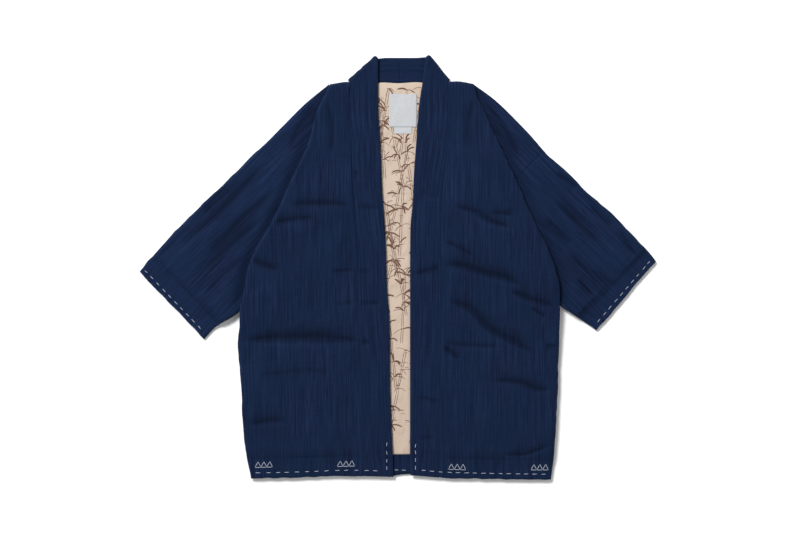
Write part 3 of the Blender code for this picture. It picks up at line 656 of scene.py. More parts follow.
def back_surfaces():
    """The back's grids: flat where it rests, with its edges rounded up, a centre seam and a hem seam
    pressed in from below, and shallow creases."""
    shares = level_shares(BACK_GRID[0])
    left_x = lambda y: body_x(LEFT, "edge", y) + BACK_INSET
    right_x = lambda y: body_x(RIGHT, "edge", y) - BACK_INSET
    x, y = panel_plan(left_x, right_x, shares, BACK_GRID[1], BACK_NECK)
    y = y + BACK_HEM_RISE * (1 - shares[:, None])
    across = np.minimum(x - x[:, :1], x[:, -1:] - x)
    edge = np.minimum(across, np.minimum(y - y[:1], y[-1:] - y))
    top = back_top(x, y)
    low = 3.4 * (1 - round_in(edge, 8.0))
    hem = level(HEM, x)
    inside = ease(edge, 2, 18)
    pressed = -crease_height("back_under", x, y) * 0.9
    pressed += seam_dip(y - hem - HEM_BAND, 1.1, 4.0) + seam_dip(x - BACK_SEAM_X, 0.9, 3.0)
    pressed += np.abs(pucker(np.abs(y - hem - HEM_BAND), x, 71, 8.0, 0.5, 7.0))
    pressed += np.abs(pucker(np.abs(x - BACK_SEAM_X), y, 72, 8.0, 0.45, 7.0))
    pressed += np.maximum(puff(x, y, 73) - 0.35, 0) * 0.7
    low = low + pressed * inside
    top = top - 0.5 * (1 - panel_edge(edge, 6.0))
    y = y + hem_wave(x) * (1 - ease(y - hem, 0, 24))
    return np.stack([x, y, top], -1), np.stack([x, y, low], -1), np.stack([x, y], -1)


def arm_grid(side, shares, start, end, middle):
    """Sections of an arm between two slanting lines across it: plan, place along, and edge distance."""
    along_top = start[0] + shares * (end[0] - start[0])
    along_low = start[1] + shares * (end[1] - start[1])
    top, low = arm_edge(side, "top", along_top), arm_edge(side, "low", along_low)
    unit = spread(200.0, middle) / 200.0
    across = top[:, None] + unit * (low - top)[:, None]
    along = along_top[:, None] + unit * (along_low - along_top)[:, None]
    x, y = arm_point(side, along, across)
    edge = np.minimum(across - top[:, None], low[:, None] - across)
    return x, y, along, across, edge


def sleeve_surfaces(side):
    """A sleeve's rings: two padded layers about a middle height, half round at both folded edges, with
    ridges that run down the arm, ripples at the armhole and cuff seams, and a thin slit inside."""
    ends = ARM_ENDS[side]
    length = ends.cuff_top - ends.armhole_top
    stations = spread(length, SLEEVE_GRID[0])
    start = (ends.armhole_top, ends.armhole_low)
    cuff = (ends.cuff_top, ends.cuff_low)
    x, y, along, across, edge = arm_grid(side, stations / length, start, cuff, SLEEVE_GRID[1])
    from_armhole, from_cuff = stations[:, None] + 0 * x, (length - stations)[:, None] + 0 * x
    loft = arm_loft(side, x, y, along)
    rest = arm_rest(side, x, y)
    middle = rest + loft / 2
    seed = 101 if side == LEFT else 131
    near_end = np.minimum(from_armhole, from_cuff)
    half = 0.2 + (loft / 2 - 0.2) * round_in(edge, 9.5)
    half_end = 0.62 + 0.38 * round_in(from_cuff, 4.5)
    half = half * half_end * (0.84 + 0.16 * round_in(from_armhole, 6.0))
    inside = ease(np.minimum(edge, near_end), 0.5, 14)
    dip = seam_dip(from_cuff - CUFF_BAND, 1.3, 2.6) + seam_dip(from_cuff - CUFF_STITCH_RISE, 0.5, 2.4)
    ridges = noise(along / 110, across / 26, seed) * 0.7 + noise(along / 60, across / 13, seed + 1) * 0.25
    ripple = pucker(from_armhole, across, seed + 3, 10.0, 0.55, 7.0)
    ripple += pucker(np.abs(from_cuff - CUFF_BAND), across, seed + 4, 9.0, 0.42, 7.0)
    ripple += pucker(from_cuff, across, seed + 5, 6.0, 0.3, 8.0) + pucker(edge, along, seed + 6, 9.0, 0.4, 10.0)
    detail = puff(along, across, seed + 7) * 0.7 + ridges + ripple - dip
    creases = crease_height(side_name(side, "sleeve"), x, y)
    detail += creases
    beside_fold = depth_in_body(side, x, y)
    free = 1 - 0.75 * ease(beside_fold, -12, 8)
    tucked_in = 4.2 * np.exp(-(((beside_fold + 1.0) / 13.0) ** 2)) * ease(edge, 0, 20)
    above = middle + half + hold_up(detail, 4.5) * inside * free - tucked_in
    under_detail = np.abs(ridges * 0.5 + puff(along, across, seed + 9) * 0.5 + ripple * 0.6) + dip
    below = middle - half + under_detail * inside * 0.8
    below = np.maximum(below, 0.0)
    # mark: painted shade in the creases and painted shadow beside the front's fold below 0, and wear along the
    # edges above 0
    mark = crease_shade_and_wear_mark(creases * free, np.minimum(edge, from_cuff)) - painted_fold_shadow(side, beside_fold)
    uv = np.stack([across, along, mark], -1)
    midway = across.mean(1, keepdims=True)
    outward = np.sign(across - midway) * (1 - ease(edge, 0, 26)) * ease(from_armhole, 0, 30)
    wander = np.where(across < midway, edge_wave(along, seed + 12), edge_wave(along, seed + 14))
    across = across + wander * outward
    cuff_wave = 0.8 * line_noise(across, 15, seed + 16) + 0.5 * line_noise(across, 34, seed + 17)
    along = along + cuff_wave * (1 - ease(from_cuff, 0, 22))
    x, y = arm_point(side, along, across)
    upper, under = np.stack([x, y, above], -1), np.stack([x, y, below], -1)
    outer = np.concatenate([upper, under[:, -2:0:-1]], axis=1)

    width = np.hypot(np.ptp(x, axis=1), np.ptp(y, axis=1))[:, None]
    in_x = x + (x.mean(1, keepdims=True) - x) * SLEEVE_WALL / (width / 2)
    in_y = y + (y.mean(1, keepdims=True) - y) * SLEEVE_WALL / (width / 2)
    gap = SLEEVE_GAP + (CUFF_MOUTH_GAP - SLEEVE_GAP) * ease(from_cuff, 60, 0)
    half_gap = 0.15 + (gap / 2 - 0.15) * round_in(edge, 40.0)
    half_gap = np.minimum(half_gap, (above - below) * 0.35)
    centre = (above + below) / 2
    sway = 0.35 * noise(across / 31, along / 40, seed + 8) * ease(edge, 0, 30)
    inner = np.concatenate(
        [
            np.stack([in_x, in_y, centre + half_gap + sway], -1),
            np.stack([in_x, in_y, centre - half_gap + sway], -1)[:, -2:0:-1],
        ],
        axis=1,
    )
    ring_uv = np.concatenate([uv, (uv + [400.0, 0.0, 0.0])[:, -2:0:-1]], axis=1)
    return outer, inner, ring_uv, ring_uv


def tuck_surfaces(side):
    """The folded-in shoulder cloth: a wedge that rounds at its edges and ripples along the armhole."""
    ends = ARM_ENDS[side]
    length = ends.armhole_top - ends.tuck_top
    stations = spread(length, 70)
    end = (ends.armhole_top, ends.armhole_low)
    x, y, along, across, edge = arm_grid(side, stations / length, (ends.tuck_top, ends.tuck_low), end, 60)
    from_armhole = (length - stations)[:, None] + 0 * x
    loft = arm_loft(side, x, y, along)
    middle = arm_rest(side, x, y) + loft / 2
    half = 0.2 + (loft / 2 - 0.2) * round_in(edge, 9.5)
    half = half * (0.84 + 0.16 * round_in(from_armhole, 6.0)) * (0.3 + 0.7 * round_in(stations[:, None], 9.0))
    seed = 161 if side == LEFT else 171
    free = 1 - 0.75 * ease(depth_in_body(side, x, y), -12, 8)
    inside = ease(np.minimum(edge, np.minimum(from_armhole, stations[:, None])), 0.5, 12)
    ripple = pucker(from_armhole, across, seed, 11.0, 0.6, 7.0) + pucker(edge, along, seed + 1, 9.0, 0.4, 9.0)
    creases = crease_height(side_name(side, "tuck"), x, y)
    detail = puff(x, y, seed + 2) * 0.6 + ripple + creases
    tucked_in = 3.6 * np.exp(-(((depth_in_body(side, x, y) + 1.0) / 13.0) ** 2)) * ease(edge, 0, 20)
    above = middle + half + hold_up(detail, 4.5) * inside * free - tucked_in * ease(loft, 6, 12)
    below = middle - half + np.abs(ripple) * inside * 0.5
    # mark: painted shade in the creases and painted shadow beside the front's fold below 0, and wear along the
    # edges above 0
    mark = crease_shade_and_wear_mark(creases * free, edge) - painted_fold_shadow(side, depth_in_body(side, x, y))
    uv = np.stack([across, along, mark], -1)
    return np.stack([x, y, above], -1), np.stack([x, y, below], -1), uv


def collar_lines(side):
    """The collar band's sections as arrays: seam end, free end, the way its outer face looks, and how
    far each is along the band. They climb the front, shear into the slanting fold at the side of the
    neck, turn half a circle over it, and shear back along the band behind the neck."""
    shares = level_shares(COLLAR_GRID[0])
    levels = HEM[0].y + shares * (SHOULDER[0].y - HEM[0].y)

    def up_front(x):
        y = level(HEM, x) + shares * (level(SHOULDER, x) - level(HEM, x))
        return np.stack([x, y, inside_top(x, y) + LAYER_GAP], -1)[levels < COLLAR_LEAVES_Y]

    seam, free = up_front(body_x(side, "seam", levels)), up_front(body_x(side, "front", levels))
    up = np.array([0.0, 0.0, 1.0])
    fold = NECK_FOLD[side]
    fold_seam, fold_free = np.array([fold.seam_x, fold.seam_y, 0.0]), np.array([fold.free_x, fold.free_y, 0.0])
    climb = np.linspace(0, 1, 26)[1:-1, None]
    rise = np.array([0, 0, NECK_LOW])
    seam = np.concatenate([seam, seam[-1] + (fold_seam + rise - seam[-1]) * climb])
    free = np.concatenate([free, free[-1] + (fold_free + rise - free[-1]) * climb])
    face = np.repeat(up[None], len(seam), axis=0)

    run = (fold_free - fold_seam) / np.linalg.norm(fold_free - fold_seam)
    out = np.array([-run[1], run[0], 0.0]) * -side
    turn = np.radians(np.linspace(0, 180, 19))[:, None]
    look = out * np.sin(turn) + up * np.cos(turn)
    radius = NECK_LOW / 2
    seam = np.concatenate([seam, fold_seam + up * radius + look * radius])
    free = np.concatenate([free, fold_free + up * radius + look * radius])
    face = np.concatenate([face, look])

    share = np.linspace(0, 1, 44)[1:]
    goal_x = CENTRE_BACK_X + side * 0.02
    settle = ease(share, 0, 0.4)

    def behind(fold_x, fold_y, goal_y):
        x, y = fold_x + (goal_x - fold_x) * share, fold_y + (goal_y - fold_y) * settle
        return np.stack([x, y, 0 * share], -1)

    back_seam = behind(fold.seam_x, fold.seam_y, NECK_SEAM_Y - 0.5)
    back_free = behind(fold.free_x, fold.free_y, BACK_BAND_TOP)
    seam, free = np.concatenate([seam, back_seam]), np.concatenate([free, back_free])
    face = np.concatenate([face, np.repeat(-up[None], len(share), axis=0)])
    middle = (seam + free) / 2
    along = np.concatenate([[0], np.cumsum(np.linalg.norm(np.diff(middle, axis=0), axis=1))])
    return seam, free, face, along


def collar_surfaces(side):
    """Half of the collar band: a padded strip on its section lines, half round at its folded edge and
    at its ends, drawn in at the neck seam, with ripples along that seam and the fronts' creases."""
    seam, free, face, along = collar_lines(side)
    width = np.linalg.norm(free - seam, axis=1)
    unit = spread(60.0, COLLAR_GRID[1]) / 60.0
    line = seam[:, None] + unit[None, :, None] * (free - seam)[:, None]
    from_seam, from_free = unit * width[:, None], (1 - unit) * width[:, None]
    full = COLLAR_LOFT + (HEM_FRONT_LOFT - COLLAR_LOFT) * (1 - ease(along, 24, 60))[:, None]
    edge = np.minimum(from_free, along[:, None])
    half = full / 2 * (0.05 + 0.95 * round_in(edge, full * 0.75)) * (0.9 + 0.1 * round_in(from_seam, 4.0))
    half = half * (0.92 + 0.08 * round_in(along[-1] - along[:, None], 3.0))
    seed = 201 if side == LEFT else 231
    x, y = line[..., 0], line[..., 1]
    run = along[:, None] + 0 * x
    on_front = 1 - ease(y, 320, 350)
    detail = puff(from_seam, run, seed) * 0.5 + pucker(from_seam, run, seed + 1, 9.0, 0.5, 7.5)
    detail += pucker(from_free, run, seed + 2, 7.0, 0.22, 9.0)
    creases = crease_height(side_name(side, "collar"), x, y) * on_front
    detail += creases
    fold_at = np.abs(face[:, 2]) < 0.995
    away = np.abs(run - along[fold_at].mean())
    detail += pucker(away, from_seam, seed + 3, 22.0, 0.55, 6.5) - 0.4 * seam_dip(away - 11, 1.0, 7.0)
    inside = ease(np.minimum(edge, from_seam), 0.5, 8)
    flat = (np.abs(face[:, 2]) > 0.995)[:, None]
    lift = np.where(flat, full / 2, COLLAR_LOFT / 2)
    centre = line + np.stack([0 * x, 0 * x, lift + 0 * x], -1)
    above = centre + face[:, None] * (half + hold_up(detail, 4.2) * inside)[..., None]
    below = centre - face[:, None] * half[..., None]
    below[..., 2] = np.maximum(below[..., 2], 0.0)
    above[..., 2] = np.maximum(above[..., 2], 0.0)
    # third column: painted shade in the creases, and wear along the free edge and the ends
    uv = np.stack([from_seam, run, crease_shade_and_wear_mark(creases * inside, edge)], -1)
    return above, below, uv


def lining_height(x, y):
    """The lining's upper face: a thin cloth that lies loosely, fuller along its centre seam."""
    side_room = np.minimum(x - (body_x(LEFT, "front", y) + 1), (body_x(RIGHT, "front", y) - 1) - x)
    loose = ease(side_room, 0, 12)
    wave = 0.7 * noise(x / 17, y / 23, 401) + 0.45 * noise(x / 8, y / 11, 402) + 0.15 * noise(x / 4, y / 5, 403)
    wave += crease_height("lining", x, y)
    wave += pucker(np.abs(y - level(HEM, x) - FACING_HEIGHT), x, 404, 10, 0.6, 6)
    neck = 0.5 * (1 - ease(level(BACK_NECK, x) - y, 0, 9))
    return inside_top(x, y) - 0.55 + np.clip(wave * loose, -0.55, 1.4) - neck


def flat_line(y):
    """An edge of a sheet that is level in plan, as a curve over x."""
    return lambda x: y + 0 * x


def sheet_surfaces(sides, bottom, top, counts, height, thickness):
    """Thin cloth: a grid at a given height, its under face moved in by the cloth's thickness."""
    x = np.linspace(*sides, counts[0])[None, :]
    low, high = bottom(x), top(x)
    y = low + np.linspace(0, 1, counts[1])[:, None] * (high - low)
    x = x + 0 * y
    z = height(x, y)
    edge = np.minimum(np.minimum(x - sides[0], sides[1] - x), np.minimum(y - low, high - y))
    above = z - thickness * 0.4 * (1 - round_in(edge, thickness))
    return np.stack([x, y, above], -1), np.stack([x, y, z - thickness], -1), np.stack([x, y], -1)


def thread_mesh(paths, radius, flat=1.0, around=8):
    """Threads along paths: each is a closed spindle whose section is an ellipse. It is full in the
    middle and narrow at both ends, which sit lower, where the thread goes down into the cloth."""
    points, faces, uvs = [], [], []
    turn = np.linspace(0, 2 * np.pi, around, endpoint=False)
    total = 0
    for path in paths:
        path = np.asarray(path, float)
        count = len(path)
        run = np.gradient(path, axis=0)
        run /= np.linalg.norm(run, axis=1, keepdims=True)
        side = np.cross(run, [0, 0, 1.0])
        side /= np.linalg.norm(side, axis=1, keepdims=True)
        up = np.cross(side, run)
        share = np.linspace(0, 1, count)
        swell = radius * np.sqrt(np.clip(1 - (2 * share - 1) ** 4, 0.02, 1))
        ring = (
            path[:, None]
            + side[:, None] * (swell[:, None] * np.cos(turn))[..., None]
            + up[:, None] * (swell[:, None] * flat * np.sin(turn))[..., None]
        )
        ends = np.stack([path[0] - run[0] * radius * 0.2, path[-1] + run[-1] * radius * 0.2])
        points.append(np.concatenate([ring.reshape(-1, 3), ends]))
        i, j = np.meshgrid(np.arange(count - 1), np.arange(around), indexing="ij")
        after = (j + 1) % around
        here, ahead = i * around, (i + 1) * around
        body = np.stack([here + j, here + after, ahead + after, ahead + j], -1)
        j = np.arange(around)
        after = (j + 1) % around
        first, last = count * around, count * around + 1
        caps = [
            np.stack([j * 0 + first, after, j, j], -1),
            np.stack([j * 0 + last, (count - 1) * around + j, (count - 1) * around + after, j * 0 + last], -1),
        ]
        faces.append((body.reshape(-1, 4) + total, [c + total for c in caps]))
        length = np.concatenate([[0], np.cumsum(np.linalg.norm(np.diff(path, axis=0), axis=1))])
        ring_uv = np.stack(np.broadcast_arrays(turn[None, :] * radius, length[:, None]), -1).reshape(-1, 2)
        uvs.append(np.concatenate([ring_uv, [[0, 0], [0, length[-1]]]]))
        total += count * around + 2
    return np.concatenate(points), faces, np.concatenate(uvs)


def add_threads(name, parts, finish, flat_uv=False):
    """One mesh object of threads. Its parts are what thread_mesh gives. With flat_uv, the UV map is the
    plan, as on the cloth below."""
    points = np.concatenate([part[0] for part in parts])
    quads, triangles, first = [], [], 0
    for part in parts:
        for body, caps in part[1]:
            quads.append(body + first)
            triangles.append(np.concatenate([caps[0][:, :3], caps[1][:, :3]]) + first)
        first += len(part[0])
    uv = points[:, :2] if flat_uv else np.concatenate([part[2] for part in parts])
    mesh = bpy.data.meshes.new(name)
    faces = np.concatenate(quads).tolist() + np.concatenate(triangles).tolist()
    mesh.from_pydata((points * MM).tolist(), [], faces)
    order = np.empty(len(mesh.loops), np.int32)
    mesh.loops.foreach_get("vertex_index", order)
    mesh.uv_layers.new(name="cloth").data.foreach_set("uv", (uv[order] * MM).ravel())
    mesh.shade_smooth()
    mesh.materials.append(finish)
    piece = bpy.data.objects.new(name, mesh)
    bpy.context.scene.collection.objects.link(piece)
    return piece


def surface_under(x, y):
    """The height of the top of the jacket at places in plan, read from the dressed pieces from above."""
    scene = bpy.context.scene
    graph = bpy.context.evaluated_depsgraph_get()
    heights = []
    for px, py in zip(np.ravel(x), np.ravel(y)):
        hit, place, *_ = scene.ray_cast(graph, Vector((px * MM, py * MM, 0.2)), Vector((0, 0, -1)))
        heights.append(place.z / MM if hit else 0.0)
    return np.array(heights).reshape(np.shape(x))


def dash_path(start, end, sink=0.9, proud=0.35, steps=9):
    """One running stitch: it rises out of the cloth, lies on it and goes back in."""
    t = np.linspace(0, 1, steps)
    x = start[0] + (end[0] - start[0]) * t
    y = start[1] + (end[1] - start[1]) * t
    ends = 1 - round_in(np.minimum(t, 1 - t), 0.16)
    return np.stack([x, y, surface_under(x, y) + proud - sink * ends], -1)


def row_dashes(point_at, start, end, pitch, dash, seed):
    """Running stitches along a line: even pitch, with a hand's unevenness in length and place."""
    random = np.random.default_rng(seed)
    paths = []
    for at in np.arange(start + pitch / 2, end - dash / 2, pitch):
        at = at + random.uniform(-0.09, 0.09) * pitch
        half = dash / 2 * random.uniform(0.82, 1.12)
        a, b = point_at(at - half), point_at(at + half)
        tilt = random.uniform(-0.5, 0.5)
        paths.append(dash_path((a[0], a[1] - tilt), (b[0], b[1] + tilt)))
    return paths


def node(tree, kind, **values):
    """A shader node with its settings and inputs: an input's value is a number, a colour or a socket."""
    made = tree.nodes.new(kind)
    for name, value in values.items():
        if name in made.bl_rna.properties:
            setattr(made, name, value)
            continue
        socket = made.inputs[int(name[1:])] if name[0] == "_" else made.inputs[name.replace("_", " ")]
        if isinstance(value, bpy.types.NodeSocket):
            tree.links.new(value, socket)
        else:
            socket.default_value = value
    return made


def blank_finish(name):
    finish = bpy.data.materials.new(name)
    finish.use_nodes = True
    tree = finish.node_tree
    return finish, tree, tree.nodes["Principled BSDF"]


def cloth_place(tree, scale, turn=0.0):
    """The cloth's own coordinates, scaled to a pattern: x runs across the warp, y along it."""
    uv = node(tree, "ShaderNodeUVMap", uv_map="cloth")
    scale, turn = (*scale, 1.0), (0, 0, turn)
    return node(tree, "ShaderNodeMapping", Vector=uv.outputs[0], Scale=scale, Rotation=turn).outputs[0]


def maths(tree, operation, a, b=0.0):
    return node(tree, "ShaderNodeMath", operation=operation, _0=a, _1=b).outputs[0]


def blend_colours(tree, share, a, b):
    return node(tree, "ShaderNodeMix", data_type="RGBA", _0=share, _6=a, _7=b).outputs[2]


def noise_at(tree, scale, detail=2.0, rough=0.5):
    place = cloth_place(tree, scale)
    return node(tree, "ShaderNodeTexNoise", Vector=place, Scale=1.0, Detail=detail, Roughness=rough).outputs[0]


def remap(tree, value, low, high, to_low, to_high):
    return node(
        tree, "ShaderNodeMapRange", Value=value, From_Min=low, From_Max=high, To_Min=to_low, To_Max=to_high
    ).outputs[0]


def shade(colour, by=1.0):
    """A colour times a number or three, as a socket takes it."""
    return (*(np.array(colour[:3]) * by), 1)


def wire(tree, shader, tone, height=None, strength=0.0, depth=0.0):
    """Joins a colour, and a height as bump, to a finish."""
    tree.links.new(tone, shader.inputs["Base Color"])
    if height is not None:
        bump = node(tree, "ShaderNodeBump", Strength=strength, Distance=depth, Height=height)
        tree.links.new(bump.outputs[0], shader.inputs["Normal"])


def weave_height(tree, threads):
    """A plain weave: ridges of warp and weft, each pushed up in turn as the other goes under."""
    across = cloth_place(tree, (threads, threads))
    parts = node(tree, "ShaderNodeSeparateXYZ", Vector=across)
    warp = maths(tree, "SINE", maths(tree, "MULTIPLY", parts.outputs[0], np.pi))
    weft = maths(tree, "SINE", maths(tree, "MULTIPLY", parts.outputs[1], np.pi))
    return maths(tree, "MULTIPLY", warp, weft)


def slub_cotton(name, colour, dark=1.0):
    """Indigo slub cotton: uneven thick yarns along the warp take the dye lighter, thin ones darker, with
    broad fading, a plain weave, and a soft fuzz of sheen. The mesh's mark adds painted shade in creases
    and beside folds, and paler worn edges."""
    finish, tree, shader = blank_finish(name)
    slub = noise_at(tree, (430, 9), 3.0, 0.62)
    fine = noise_at(tree, (1100, 26), 2.0, 0.6)
    weft = noise_at(tree, (22, 620), 3.0, 0.6)
    broad = noise_at(tree, (11, 8), 3.0, 0.55)
    hue = noise_at(tree, (17, 6), 2.0, 0.5)
    light = remap(tree, slub, 0.38, 0.72, 0.0, 1.0)
    thin = remap(tree, fine, 0.35, 0.7, 0.0, 1.0)
    base = np.array(colour[:3]) * dark
    wear = node(tree, "ShaderNodeAttribute", attribute_name="wear").outputs["Fac"]
    # painted shade: the mark's negative part, darkening creases and the sleeve beside each fold
    painted_shade_mask = remap(tree, wear, -0.12, -1.0, 0.0, 0.72)
    rubbed = remap(tree, wear, 0.25, 0.9, 0.0, 0.55)
    tone = blend_colours(tree, light, shade(base, 0.42), shade(base, [2.5, 2.15, 1.75]))
    for share, tint in (
        (maths(tree, "MULTIPLY", thin, 0.5), 1.5),
        (remap(tree, fine, 0.5, 0.3, 0.0, 0.7), 0.34),
        (remap(tree, weft, 0.52, 0.72, 0.0, 0.32), 1.9),
        (remap(tree, broad, 0.35, 0.7, 0.0, 0.45), 0.62),
        (remap(tree, hue, 0.36, 0.66, 0.0, 0.5), [0.82, 1.2, 1.0]),
        # the painted shade, weaker on thick slubs
        (maths(tree, "MULTIPLY", painted_shade_mask, remap(tree, slub, 0.36, 0.66, 1.0, 0.65)), 0.3),
        (maths(tree, "MULTIPLY", rubbed, light), [3.2, 2.9, 2.2]),
    ):
        tone = blend_colours(tree, share, tone, shade(base, tint))
    rough = remap(tree, slub, 0.3, 0.8, 0.92, 0.78)
    tree.links.new(rough, shader.inputs["Roughness"])
    yarn = maths(tree, "ADD", maths(tree, "MULTIPLY", slub, 1.3), maths(tree, "MULTIPLY", fine, 0.7))
    yarn = maths(tree, "ADD", yarn, maths(tree, "MULTIPLY", weft, 0.6))
    height = maths(tree, "ADD", yarn, maths(tree, "MULTIPLY", weave_height(tree, 1400), 0.25))
    wire(tree, shader, tone, height, 0.55, 0.0007)
    shader.inputs["Sheen Weight"].default_value = 0.03
    shader.inputs["Sheen Roughness"].default_value = 0.55
    shader.inputs["Sheen Tint"].default_value = (0.45, 0.55, 0.8, 1)
    shader.inputs["Specular IOR Level"].default_value = 0.06
    return finish


def lining_cotton(name, colour):
    """Smooth cream lining: fine even threads, faint slubs and a slight gloss."""
    finish, tree, shader = blank_finish(name)
    thread = noise_at(tree, (1800, 90), 2.0, 0.5)
    broad = noise_at(tree, (25, 16), 3.0, 0.5)
    tone = blend_colours(tree, remap(tree, thread, 0.3, 0.7, 0, 1), shade(colour, 0.93), shade(colour, 1.05))
    stained = remap(tree, broad, 0.4, 0.75, 0, 0.5)
    tone = blend_colours(tree, stained, tone, shade(colour, [0.93, 0.88, 0.84]))
    height = maths(tree, "ADD", thread, maths(tree, "MULTIPLY", weave_height(tree, 2200), 0.3))
    wire(tree, shader, tone, height, 0.3, 0.0003)
    shader.inputs["Roughness"].default_value = 0.62
    shader.inputs["Sheen Weight"].default_value = 0.08
    return finish


def dyed_line(name, colour):
    """Brushed dye on the lining: warm brown that wears thin in places."""
    finish, tree, shader = blank_finish(name)
    worn = remap(tree, noise_at(tree, (700, 240), 3.0, 0.6), 0.35, 0.75, 0, 0.55)
    wire(tree, shader, blend_colours(tree, worn, shade(colour), shade(colour, 2.2)))
    shader.inputs["Roughness"].default_value = 0.75
    return finish


def twisted_thread(name, colour):
    """Cotton thread: its plies show as slanting ridges, with painted shade in the grooves between them."""
    finish, tree, shader = blank_finish(name)
    place = cloth_place(tree, (900, 900), 0.7)
    plies = node(tree, "ShaderNodeTexWave", Vector=place, Scale=1.0, Distortion=1.2, Detail=1.0).outputs[1]
    # the plies also darken the colour in their grooves: painted shade
    wire(tree, shader, blend_colours(tree, plies, shade(colour, 0.8), shade(colour)), plies, 0.5, 0.0002)
    shader.inputs["Roughness"].default_value = 0.7
    shader.inputs["Sheen Weight"].default_value = 0.2
    return finish


def label_weave(name, colour):
    """Woven label tape: a fine satin with faint ribs across it."""
    finish, tree, shader = blank_finish(name)
    place = cloth_place(tree, (300, 2600), 1.5708)
    ribs = node(tree, "ShaderNodeTexWave", Vector=place, Scale=1.0, Distortion=0.6)
    soft = noise_at(tree, (260, 260), 3.0, 0.6)
    tone = blend_colours(tree, soft, shade(colour, 0.9), shade(colour, 1.06))
    wire(tree, shader, tone, ribs.outputs[1], 0.35, 0.0002)
    shader.inputs["Roughness"].default_value = 0.5
    shader.inputs["Sheen Weight"].default_value = 0.1
    return finish


class JacketColours(bpy.types.PropertyGroup):
    """Colours of the cloth, the dye and the thread."""

    def _colour(name, description, default):
        return bpy.props.FloatVectorProperty(
            name=name, description=description, default=default, size=4, subtype="COLOR", min=0.0, max=1.0
        )

    cotton: _colour("Cotton", "Indigo of the padded cloth", (0.0049, 0.0117, 0.0400, 1))
    lining: _colour("Lining", "Cream of the lining", (0.464, 0.367, 0.292, 1))
    print_dye: _colour("Print", "Brown of the brushed pattern", (0.085, 0.035, 0.018, 1))
    thread: _colour("Thread", "White of the hand stitching", (0.40, 0.43, 0.52, 1))
    label: _colour("Label", "White of the woven labels", (0.405, 0.418, 0.436, 1))


class JacketSewing(bpy.types.PropertyGroup):
    """Sizes of the hand stitching."""

    dash: bpy.props.FloatProperty(
        name="Dash", description="Length of a running stitch", default=9.6 * MM, unit="LENGTH", min=0.002
    )
    pitch: bpy.props.FloatProperty(
        name="Pitch", description="From one stitch to the next", default=17.6 * MM, unit="LENGTH", min=0.004
    )
    thickness: bpy.props.FloatProperty(
        name="Thread", description="Width of a laid thread", default=1.05 * MM, unit="LENGTH", min=0.0003
    )
    ornament: bpy.props.FloatProperty(
        name="Triangle", description="Width of one triangle", default=11.4 * MM, unit="LENGTH", min=0.003
    )


def settings():
    return bpy.context.scene.jacket_colours, bpy.context.scene.jacket_sewing


def finish_named(name):
    """A finish of the jacket, made the first time that a piece asks for it."""
    if name in bpy.data.materials:
        return bpy.data.materials[name]
    colours, _ = settings()
    makers = {
        "body cotton": lambda: slub_cotton(name, colours.cotton),
        "back cotton": lambda: slub_cotton(name, colours.cotton, 0.96),
        "sleeve cotton": lambda: slub_cotton(name, colours.cotton, 1.08),
        "collar cotton": lambda: slub_cotton(name, colours.cotton, 0.98),
        "lining cloth": lambda: lining_cotton(name, colours.lining),
        "lining dye": lambda: dyed_line(name, colours.print_dye),
        "stitch thread": lambda: twisted_thread(name, colours.thread),
        "label tape": lambda: label_weave(name, colours.label),
    }
    return makers[name]()


class JACKET_OT_back(bpy.types.Operator):
    """Make the padded back"""

    bl_idname = "jacket.back"
    bl_label = "Back"

    def execute(self, context):
        piece = add_piece("padded_back", *closed_slab(*back_surfaces()), finish_named("back cotton"))
        dress(piece, ["back"])
        return {"FINISHED"}


class JACKET_OT_fronts(bpy.types.Operator):
    """Make the two padded fronts"""

    bl_idname = "jacket.fronts"
    bl_label = "Fronts"

    def execute(self, context):
        for side in (LEFT, RIGHT):
            shape, name = closed_slab(*front_surfaces(side)), side_name(side, "padded_front")
            piece = add_piece(name, *shape, finish_named("body cotton"))
            dress(piece, [side_name(side, "front")])
        return {"FINISHED"}


class JACKET_OT_arms(bpy.types.Operator):
    """Make the sleeves and the shoulder cloth that they hang from"""

    bl_idname = "jacket.arms"
    bl_label = "Sleeves and shoulders"

    def execute(self, context):
        for side in (LEFT, RIGHT):
            shape, name = closed_tube(*sleeve_surfaces(side)), side_name(side, "padded_sleeve")
            sleeve = add_piece(name, *shape, finish_named("sleeve cotton"))
            dress(sleeve, [side_name(side, "sleeve")])
            shape, name = closed_slab(*tuck_surfaces(side)), side_name(side, "padded_shoulder")
            tuck = add_piece(name, *shape, finish_named("sleeve cotton"))
            dress(tuck, [side_name(side, "shoulder_tuck")])
        return {"FINISHED"}


class JACKET_OT_collar(bpy.types.Operator):
    """Make the two halves of the collar band"""

    bl_idname = "jacket.collar"
    bl_label = "Collar"

    def execute(self, context):
        for side in (LEFT, RIGHT):
            shape, name = closed_slab(*collar_surfaces(side)), side_name(side, "padded_collar")
            piece = add_piece(name, *shape, finish_named("collar cotton"))
            dress(piece, [side_name(side, "collar")])
        return {"FINISHED"}


def brush_stroke(points, width, steps=10):
    """A stroke of the print: a smooth line through its points, with its width swelling in the middle."""
    knots = np.array(points, float)
    return smooth_line(np.linspace(0, 1, len(knots)), knots, np.linspace(0, 1, steps)), width


